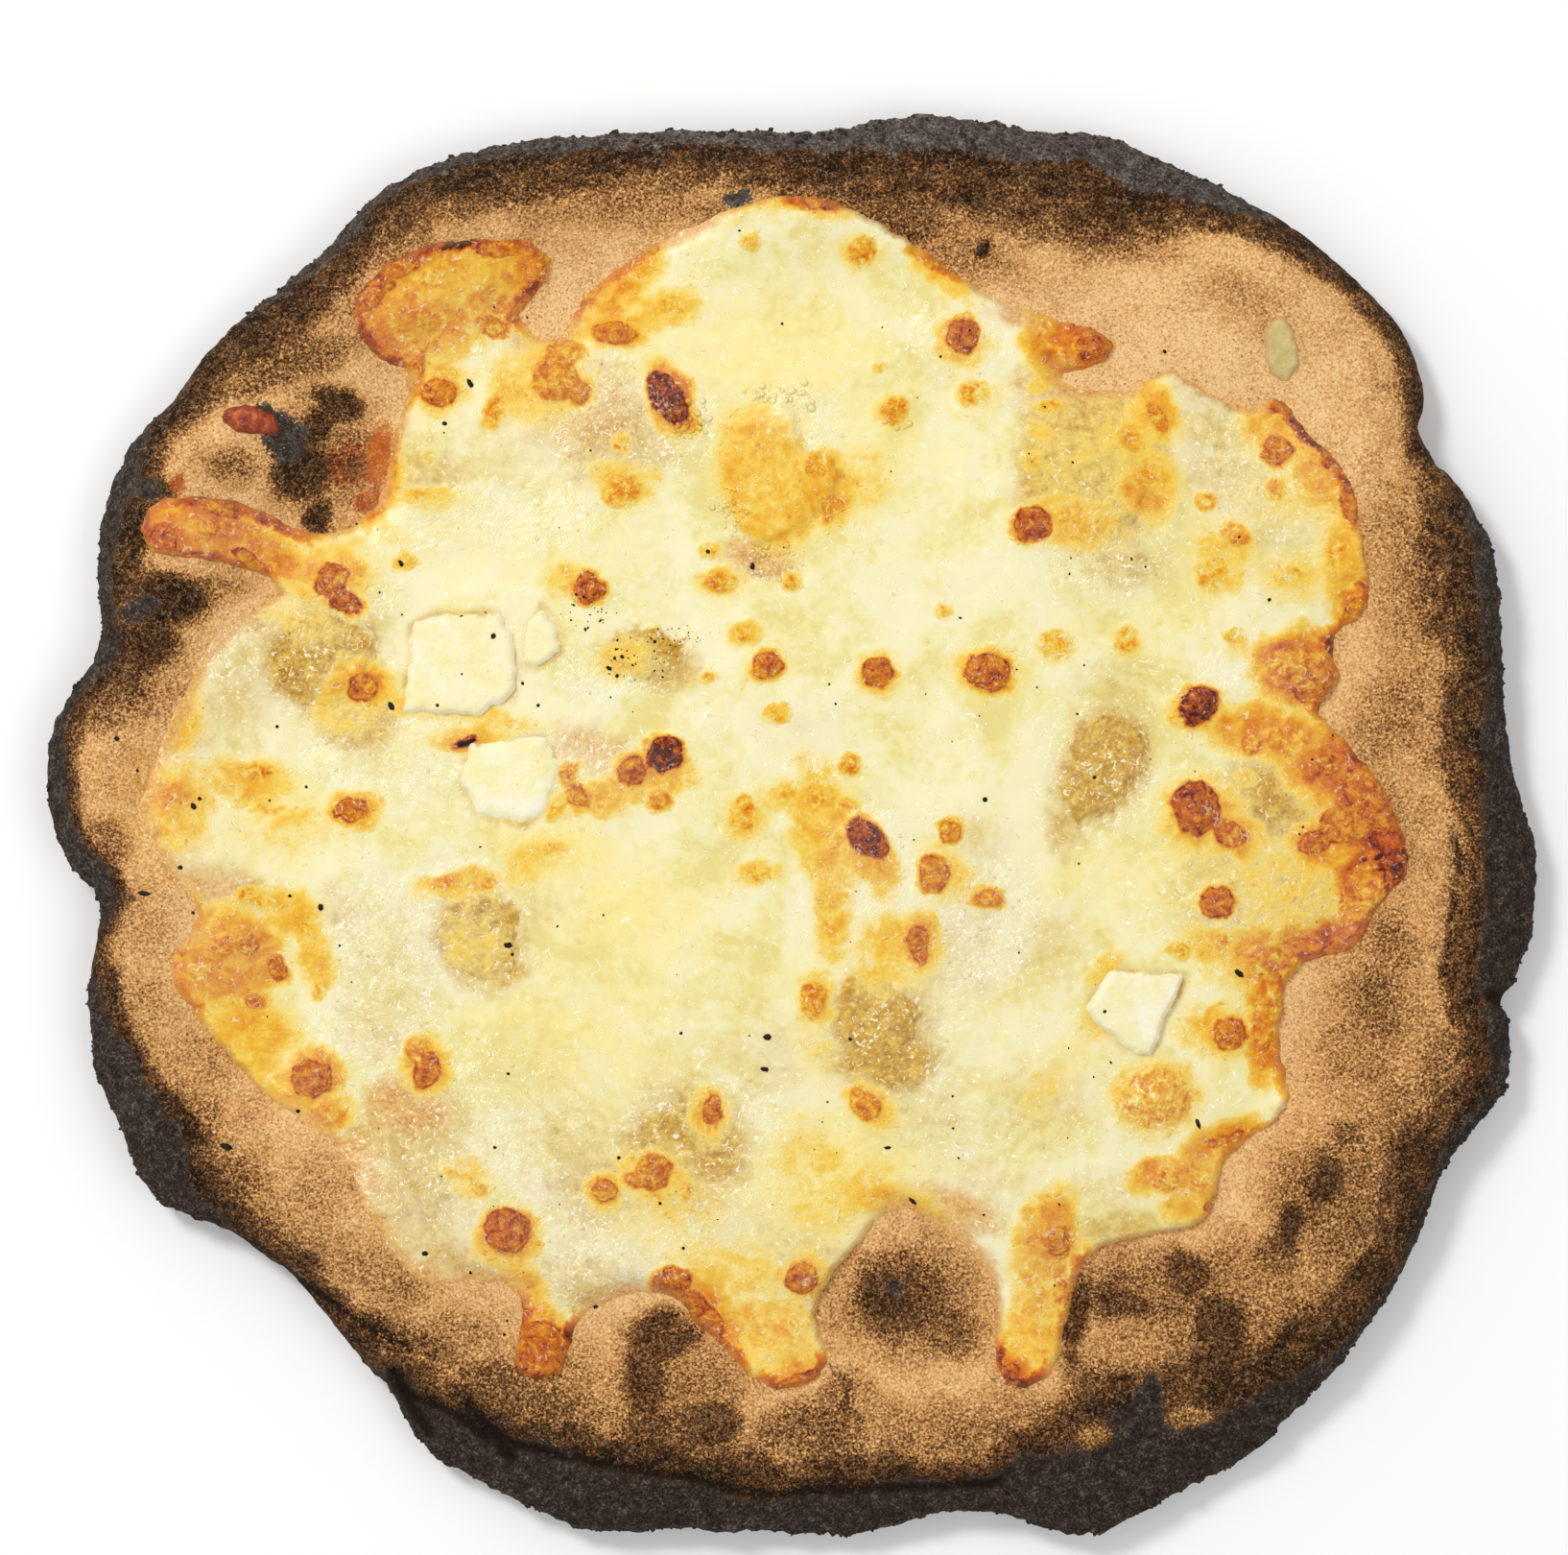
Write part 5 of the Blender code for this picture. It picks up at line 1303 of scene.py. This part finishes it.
class Nodes:
    """Short calls that add and join shader nodes."""

    def __init__(self, name):
        self.material = bpy.data.materials.new(name)
        self.material.use_nodes = True
        self.tree = self.material.node_tree
        self.tree.nodes.clear()
        self.place = self.add("TexCoord").outputs["Object"]

    def add(self, kind, **inputs):
        """A new node with numbers or values on its inputs."""
        node = self.tree.nodes.new("ShaderNode" + kind)
        for name, value in inputs.items():
            self.put(node.inputs[name.replace("_", " ")], value)
        return node

    def put(self, socket, value):
        if isinstance(value, Value):
            self.tree.links.new(value.socket, socket)
        elif isinstance(value, bpy.types.NodeSocket):
            self.tree.links.new(value, socket)
        else:
            socket.default_value = value

    def math(self, operation, *values):
        node = self.add("Math")
        node.operation = operation
        for socket, value in zip(node.inputs, values):
            self.put(socket, value)
        return Value(self, node.outputs[0])

    def most(self, first, second):
        return self.math("MAXIMUM", first, second)

    def least(self, first, second):
        return self.math("MINIMUM", first, second)

    def grain(self, size, detail=2.0, roughness=0.5, twist=0.0):
        """Noise between 0 and 1 with waves of the given size in mm."""
        node = self.add("TexNoise", Vector=self.place, Scale=1.0 / (size * MM), Detail=detail,
                        Roughness=roughness, Distortion=twist)
        return Value(self, node.outputs["Fac"])

    def cells(self, size):
        """Distance from the middles of cells of the given size in mm."""
        return Value(self, self.add(
            "TexVoronoi", Vector=self.place, Scale=1.0 / (size * MM)).outputs["Distance"])

    def numbers(self, names):
        """What store() has kept under the names."""
        found = []
        for name in names.split():
            node = self.add("Attribute")
            node.attribute_name = name
            found.append(Value(self, node.outputs["Fac"]))
        return found

    def step(self, value, start, end, low=0.0, high=1.0):
        """Smooth rise from low to high as value goes from start to end."""
        node = self.add("MapRange", From_Min=start, From_Max=end, To_Min=low, To_Max=high, Value=value)
        node.interpolation_type = "SMOOTHSTEP"
        return Value(self, node.outputs["Result"])

    def ramp(self, value, *stops):
        node = self.add("ValToRGB", Fac=value)
        elements = node.color_ramp.elements
        while len(elements) < len(stops):
            elements.new(0.5)
        for element, (place, *colour) in zip(elements, stops):
            element.position = place
            element.color = srgb(*colour)
        return Value(self, node.outputs["Color"])

    def mix(self, share, first, second):
        node = self.add("Mix", Factor=share)
        node.data_type = "RGBA"
        for socket, value in zip((node.inputs[6], node.inputs[7]), (first, second)):
            self.put(socket, value if isinstance(value, Value) else srgb(*value))
        return Value(self, node.outputs[2])

    def bump(self, height, depth):
        """Relief of the given depth in mm."""
        node = self.add("Bump", Strength=1.0, Distance=depth * MM, Height=height)
        return Value(self, node.outputs["Normal"])

    def finish(self, **inputs):
        shader, output = self.add("BsdfPrincipled", **inputs), self.add("OutputMaterial")
        self.tree.links.new(shader.outputs[0], output.inputs[0])
        return self.material


FRY_STOPS = (
    (0, 240, 232, 190), (0.14, 244, 224, 140), (0.26, 240, 204, 88), (0.38, 232, 176, 52),
    (0.5, 222, 144, 34), (0.62, 208, 116, 28), (0.74, 188, 90, 24), (0.84, 158, 62, 20),
    (0.93, 116, 38, 16), (1, 68, 22, 12))
CRUMB_STOPS = (
    (0, 242, 202, 144), (0.12, 225, 176, 114), (0.25, 206, 154, 94), (0.38, 180, 129, 76),
    (0.5, 145, 99, 55), (0.62, 112, 73, 38), (0.74, 84, 53, 28), (0.87, 58, 37, 20), (1, 28, 18, 9))


def dough_material():
    n = Nodes("baked_dough")
    bake, char, groove, below, ashen, film, film_fry = n.numbers(
        "bake char groove below ashen film film_fry")
    fine, speck = n.grain(0.52, 1.0, 0.6, 0.5), n.grain(1.0, 2.0, 0.7, 0.4)
    cloud, coarse = n.grain(6.0, 3.0, 0.6), n.grain(2.6, 3.0, 0.65)
    grain = fine.swing(2.0, 0.49) + speck.swing(0.7)

    contrast = n.step(bake, 0.08, 0.55, 0.45, 0.92) * n.step(bake, 0.55, 0.95, 1.0, 0.6)
    baked = n.ramp((bake + grain * contrast + cloud.swing(0.16)).clamped(), *CRUMB_STOPS)
    thread = n.step(abs(n.grain(0.85, 1.0, 0.5, 0.5) - 0.5), 0.05, 0.01)
    thread = thread * n.step(n.grain(1.3, 1.0, 0.5), 0.46, 0.58)
    baked = n.mix(thread * n.step(bake, 0.1, 0.6, 0.1, 0.3), baked, (214, 176, 128))

    cinder = fine * 0.4 + speck * 0.3 + coarse * 0.3
    black_ash = n.ramp(
        cinder, (0.36, 14, 10, 7), (0.45, 36, 29, 23), (0.54, 60, 50, 42), (0.64, 104, 92, 80))
    # Pale char: partly pale ash, partly painted light where the rim faces the lamp
    lit_pale_ash = n.ramp(
        cinder, (0.36, 34, 28, 24), (0.45, 70, 62, 56), (0.54, 100, 91, 85), (0.64, 146, 136, 128))
    burnt = n.step(char + grain * 0.9 + coarse.swing(1.0), 0.32, 0.72)
    colour = n.mix(burnt, baked, n.mix(ashen, black_ash, lit_pale_ash))
    film_share = n.step(film + coarse.swing(0.5) + grain * 0.25, 0.12, 0.8)
    fried = n.ramp((film_fry + coarse.swing(0.4)).clamped(), *FRY_STOPS)
    colour = n.mix(film_share * 0.85, colour, fried)
    # painted shade: the grooves are darkened nearly to black, as shade falls in them
    split = n.step(groove + grain * 0.5, 0.3, 1.0) * n.step(bake, 0.2, 0.7, 0.45, 0.9)
    colour = n.mix(split, colour, (26, 17, 11))

    spots = n.most(n.step(n.grain(19.0, 4.0, 0.6, 0.4), 0.52, 0.68),
                   n.step(n.grain(8.0, 3.0, 0.55), 0.55, 0.68))
    sole = n.ramp(
        (spots * 0.62 + 0.16 + grain * 0.3).clamped(), (0, 226, 190, 142), (0.25, 206, 160, 108),
        (0.5, 150, 103, 64), (0.75, 80, 55, 38), (1, 40, 32, 28))
    flour = n.step(n.grain(4.0, 4.0, 0.65), 0.45, 0.7)
    colour = n.mix(below, colour, n.mix(flour * 0.45, sole, (232, 218, 196)))
    relief = fine * 0.5 + speck * (0.6 + char * 0.9) + n.grain(0.35, 0.0) * 0.25
    return n.finish(Base_Color=colour, Roughness=0.85, Specular_IOR_Level=0.08,
                    Normal=n.bump(relief, 0.6))


def cheese_material():
    n = Nodes("melted_cheese")
    fry, yellow, tan, pink, wet, blister, dark, edge, fade, brown = n.numbers(
        "fry yellow tan pink wet blister dark edge fade brown_edge")
    fine, mid, soft = n.grain(0.7, 2.0, 0.6), n.grain(2.2, 3.0, 0.6), n.grain(8.0, 3.0, 0.55)
    blotch, flow = n.grain(4.5, 4.0, 0.6), n.grain(5.0, 2.0, 0.45, 1.0)

    # the fried bubbles and how brown each place is
    ragged = blister + mid.swing(1.5) + fine.swing(0.4)
    firm = n.step(dark, 0.42, 0.76)
    core = n.step(ragged / (1.1 - firm * 0.75), 1.0, -1.0)
    reach = n.most(1.5 + soft.swing(8.0), 0.5)
    halo = n.step(ragged / reach, 1.0, 0.0) * n.step(dark, 0.25, 0.8, 0.55, 1.0)
    glow = n.step(blister / (reach + 1.6), 1.0, 0.2) * n.step(dark, 0.4, 0.85)
    rim_dark = n.step(edge + mid.swing(5.0), 4.2, 1.4)
    mottle = mid.swing(0.5) + fine.swing(0.3) + flow.swing(1.0)
    level = fry + mottle * (fry * 1.3)
    level = n.most(level, halo * (0.14 + dark * 0.36))
    level = n.most(level, glow * 0.2)
    level = n.most(level, rim_dark * (brown * (0.88 + mottle * 0.9)))
    crackle = n.grain(2.0, 2.0, 0.5, 0.6).swing(1.6) + fine.swing(0.7)
    inner = n.most(dark, 0.4) * (0.7 + n.step(ragged, 0.2, -1.3) * 0.1) + crackle * 0.6
    ring = n.step(abs(ragged + 0.2), 0.45, 0.1)
    inner = n.least(inner + n.step(dark, 0.87, 0.96, 0.0, 0.14) + ring * firm * 0.16, 0.98)
    level = (level * (1.0 - core) + core * inner).clamped()
    show_fry = n.step(level, 0.05, 0.3)

    # the melted sheet between them: white, yellow, glassy or thin over the dough
    white = n.ramp(n.grain(15.0, 3.0, 0.5, 0.5) * 0.7 + mid * 0.3,
                   (0.38, 229, 213, 136), (0.46, 236, 226, 162), (0.55, 241, 233, 190))
    cream = n.ramp(soft * 0.6 + mid * 0.4,
                   (0.3, 234, 212, 124), (0.5, 243, 226, 146), (0.7, 246, 234, 168))
    glass = n.ramp(mid * 0.6 + fine * 0.4,
                   (0.34, 166, 116, 18), (0.5, 201, 154, 40), (0.66, 228, 196, 80))
    skin = n.ramp(fine * 0.7 + mid * 0.3,
                  (0.34, 190, 126, 64), (0.5, 217, 164, 90), (0.66, 235, 196, 122))
    base = n.mix(n.step(yellow + soft.swing(0.9) + blotch.swing(0.5), 0.1, 0.95), white, cream)
    base = n.mix(n.step(tan + blotch.swing(0.5), 0.06, 0.82), base, glass)
    base = n.mix(n.step(pink + blotch.swing(0.5), 0.12, 0.9), base, skin)
    colour = n.mix(show_fry, base, n.ramp(level, *FRY_STOPS))
    thin = n.most(fade * n.step(edge, 9.0, 0.0), n.step(edge, 3.2, 0.0) * 0.75)
    melt = n.step(thin + blotch.swing(0.9) + fine.swing(0.5), 0.25, 0.9)
    colour = n.mix(melt * (0.9 - brown * 0.7), colour, skin)

    # short curls of shade and of light
    curl = n.grain(2.3, 0.0, 0.5, 1.2)
    lively = n.most(wet, show_fry * 0.5) * 0.08 + soft.swing(0.5)
    seen = n.step(n.grain(1.15, 1.0, 0.5) + lively, 0.585, 0.65)
    shade = n.step(abs(curl - 0.44), 0.04, 0.01) * seen
    light = n.step(abs(curl - 0.5), 0.046, 0.018) * seen
    colour = n.mix(shade * 0.3, colour, n.mix(show_fry, (200, 160, 82), (140, 74, 22)))
    colour = n.mix(light * (0.8 - show_fry * 0.45), colour, (253, 249, 222))

    # relief and shine
    rough = n.most(wet * 0.9, show_fry * 0.45)
    bubbles = n.step(n.cells(1.5), 0.1, 0.75)
    gloss = mid * (0.12 + rough * 1.3) + fine * (rough * 0.7) - bubbles * (wet * 0.3)
    crisp = core * firm
    crags = crisp * (n.grain(0.9, 2.0, 0.7) * 0.9 + mid * 0.4 - 0.65)
    shine = n.most(n.step(wet, 0.0, 0.8), crisp * n.step(n.grain(1.0, 1.0, 0.5), 0.48, 0.60))
    return n.finish(
        Base_Color=colour, Roughness=0.42, Normal=n.bump(gloss * (0.3 + show_fry * 0.2) + crags, 0.9),
        Specular_IOR_Level=0.32 - n.most(core, show_fry * 0.7) * 0.24,
        Coat_Weight=shine * (1.0 - show_fry * 0.5) * (1.0 - tan * 0.5),
        Coat_Roughness=0.08, Coat_IOR=1.9, Coat_Normal=n.bump(gloss + crags, 0.9))


def slice_material():
    n = Nodes("soft_cheese")
    fine, mid, soft = n.grain(0.6, 2.0, 0.6), n.grain(2.0, 3.0, 0.6), n.grain(7.0, 2.0, 0.5)
    rind, side, yellow = n.numbers("rind side yellow")
    colour = n.ramp(soft * 0.7 + mid * 0.3,
                    (0.34, 240, 228, 166), (0.5, 242, 234, 188), (0.64, 245, 240, 212))
    # painted highlight: the slice is whiter along its edge
    colour = n.mix(n.step(side + mid.swing(1.4), 1.0, 0.1) * 0.5, colour, (248, 244, 222))
    colour = n.mix(n.step(yellow + mid.swing(0.8), 0.3, 1.0) * 0.4, colour, (240, 222, 146))
    colour = n.mix(n.step(rind + mid.swing(0.8), 0.35, 0.8) * 0.75, colour, (214, 160, 76))
    colour = n.mix(n.step(n.cells(3.4), 0.09, 0.03) * 0.4, colour, (176, 170, 128))
    return n.finish(Base_Color=colour, Roughness=0.5, Specular_IOR_Level=0.3,
                    Normal=n.bump(mid * 0.6 + fine * 0.3, 0.4))


def scrap_material(name, low, middle, high, rim):
    """Looks of a scrap from the three stops of its colours and the colour of its rim."""
    n = Nodes(name)
    fine, mid = n.grain(0.6, 2.0, 0.6), n.grain(2.0, 3.0, 0.6)
    side, = n.numbers("side")
    colour = n.ramp(mid * 0.65 + fine * 0.35, low, middle, high)
    colour = n.mix(n.step(side + mid.swing(1.2), 0.9, 0.1) * 0.6, colour, rim)
    return n.finish(Base_Color=colour, Roughness=0.35, Specular_IOR_Level=0.4,
                    Normal=n.bump(mid * 0.6 + fine * 0.5, 0.5))


def dark_material(name, low, high, rough):
    n = Nodes(name)
    fine, mid = n.grain(0.3, 2.0, 0.6), n.grain(1.2, 2.0, 0.6)
    return n.finish(Base_Color=n.ramp(mid * 0.5 + fine * 0.5, (0.35, *low), (0.68, *high)),
                    Roughness=rough, Specular_IOR_Level=0.15, Normal=n.bump(fine + mid, 0.15))


# ---------------------------------------------------------------- stage

CAMERA_HEIGHT = 1.0                 # metres over the table
RIM_HEIGHT = 0.006                  # height whose scale matches the photograph
SENSOR_WIDTH = 36.0
LIGHT_AIM = (0.0, 0.0, 0.005)
SKY_LIGHT = 0.82
OVERHEAD_LIGHT = 0.04               # the studio is darker straight above, where the camera hangs
OVERHEAD_START, OVERHEAD_FULL = 0.80, 0.96    # upward share of a direction, where that goes on
TABLE_HALF = 1.2                    # metres from the table's middle to its side
TABLE_DROP = 0.0002                 # metres of air under the pizza


def add_object(name, data, place):
    thing = bpy.data.objects.new(name, data)
    thing.location = place
    bpy.context.scene.collection.objects.link(thing)
    return thing


def add_light(name, place, size, power, colour):
    data = bpy.data.lights.new(name, "AREA")
    data.shape = "DISK"
    data.size = size
    data.energy = power
    data.color = colour
    light = add_object(name, data, place)
    direction = Vector(LIGHT_AIM) - light.location
    light.rotation_euler = direction.to_track_quat("-Z", "Y").to_euler()


def make_table():
    mesh = bpy.data.meshes.new("table")
    corners = [(TABLE_HALF * x, TABLE_HALF * y, 0) for x, y in ((-1, -1), (1, -1), (1, 1), (-1, 1))]
    mesh.from_pydata(corners, [], [(0, 1, 2, 3)])
    n = Nodes("pale_table")
    shade = n.ramp(n.grain(220.0, 1.0), (0.3, 248, 248, 248), (0.7, 252, 252, 252))
    mesh.materials.append(n.finish(Base_Color=shade, Roughness=0.9))
    add_object("table", mesh, (0, 0, -TABLE_DROP))


def make_sky():
    world = bpy.data.worlds.new("studio")
    world.use_nodes = True
    tree = world.node_tree
    background = tree.nodes["Background"]
    background.inputs["Color"].default_value = (1.0, 1.0, 1.0, 1.0)
    direction = tree.nodes.new("ShaderNodeTexCoord")
    parts = tree.nodes.new("ShaderNodeSeparateXYZ")
    fall = tree.nodes.new("ShaderNodeMapRange")
    fall.interpolation_type = "SMOOTHSTEP"
    for name, value in (("From Min", OVERHEAD_START), ("From Max", OVERHEAD_FULL),
                        ("To Min", SKY_LIGHT), ("To Max", OVERHEAD_LIGHT)):
        fall.inputs[name].default_value = value
    tree.links.new(direction.outputs["Generated"], parts.inputs["Vector"])
    tree.links.new(parts.outputs["Z"], fall.inputs["Value"])
    tree.links.new(fall.outputs["Result"], background.inputs["Strength"])
    bpy.context.scene.world = world


def make_camera():
    data = bpy.data.cameras.new("camera")
    data.sensor_width = SENSOR_WIDTH
    data.lens = SENSOR_WIDTH * (CAMERA_HEIGHT - RIM_HEIGHT) / (PHOTO_SIZE[0] * PIXEL * MM)
    across = (PHOTO_SIZE[0] / 2 - CENTRE_PIXEL[0]) * PIXEL * MM
    along = (CENTRE_PIXEL[1] - PHOTO_SIZE[1] / 2) * PIXEL * MM
    bpy.context.scene.camera = add_object("camera", data, (across, along, CAMERA_HEIGHT))


def main():
    crust, crust_tree = make_crust()
    crust.data.materials.append(dough_material())
    cheese, cheese_tree = make_cheese(crust_tree)
    melted, soft = cheese_material(), slice_material()
    cheese.data.materials.append(melted)
    covers = [crust_tree, cheese_tree]
    for toppings, material, first_lift in ((SLICES, soft, 50.0), (LUMPS, melted, 80.0)):
        for order, (node, looks) in enumerate(toppings.items()):
            piece = make_topping(node, looks, cheese_tree, first_lift + 4 * order)
            piece.data.materials.append(material)
            covers.append(tree_round(piece))
    pale = make_scrap("pale_cheese_scrap", "scrap_pale", "melted_cheese", crust_tree, 120.0)
    pale.data.materials.append(scrap_material(
        "pale_scrap", (0.3, 190, 166, 102), (0.5, 202, 180, 116), (0.7, 216, 196, 136), (200, 160, 104)))
    fried = make_scrap("fried_cheese_scrap", "scrap_fried", "fried_cheese", crust_tree, 130.0)
    fried.data.materials.append(scrap_material(
        "fried_scrap", (0.36, 104, 36, 22), (0.5, 156, 62, 30), (0.64, 206, 104, 44), (116, 46, 30)))
    make_bubbles(covers[1:]).data.materials.append(melted)
    make_pepper(covers).data.materials.append(dark_material("pepper", (18, 16, 16), (46, 40, 36), 0.45))
    make_crumbs(crust, crust_tree).data.materials.append(
        dark_material("cinder", (26, 22, 20), (74, 66, 62), 0.9))
    make_table()
    make_sky()
    add_light("key", (-0.62, 0.62, 1.05), 0.34, 8.8, (1.0, 0.985, 0.96))
    add_light("fill", (0.9, -0.5, 1.1), 1.0, 3.0, (0.97, 0.98, 1.0))
    make_camera()
    bpy.context.scene.view_settings.view_transform = "Standard"


main()
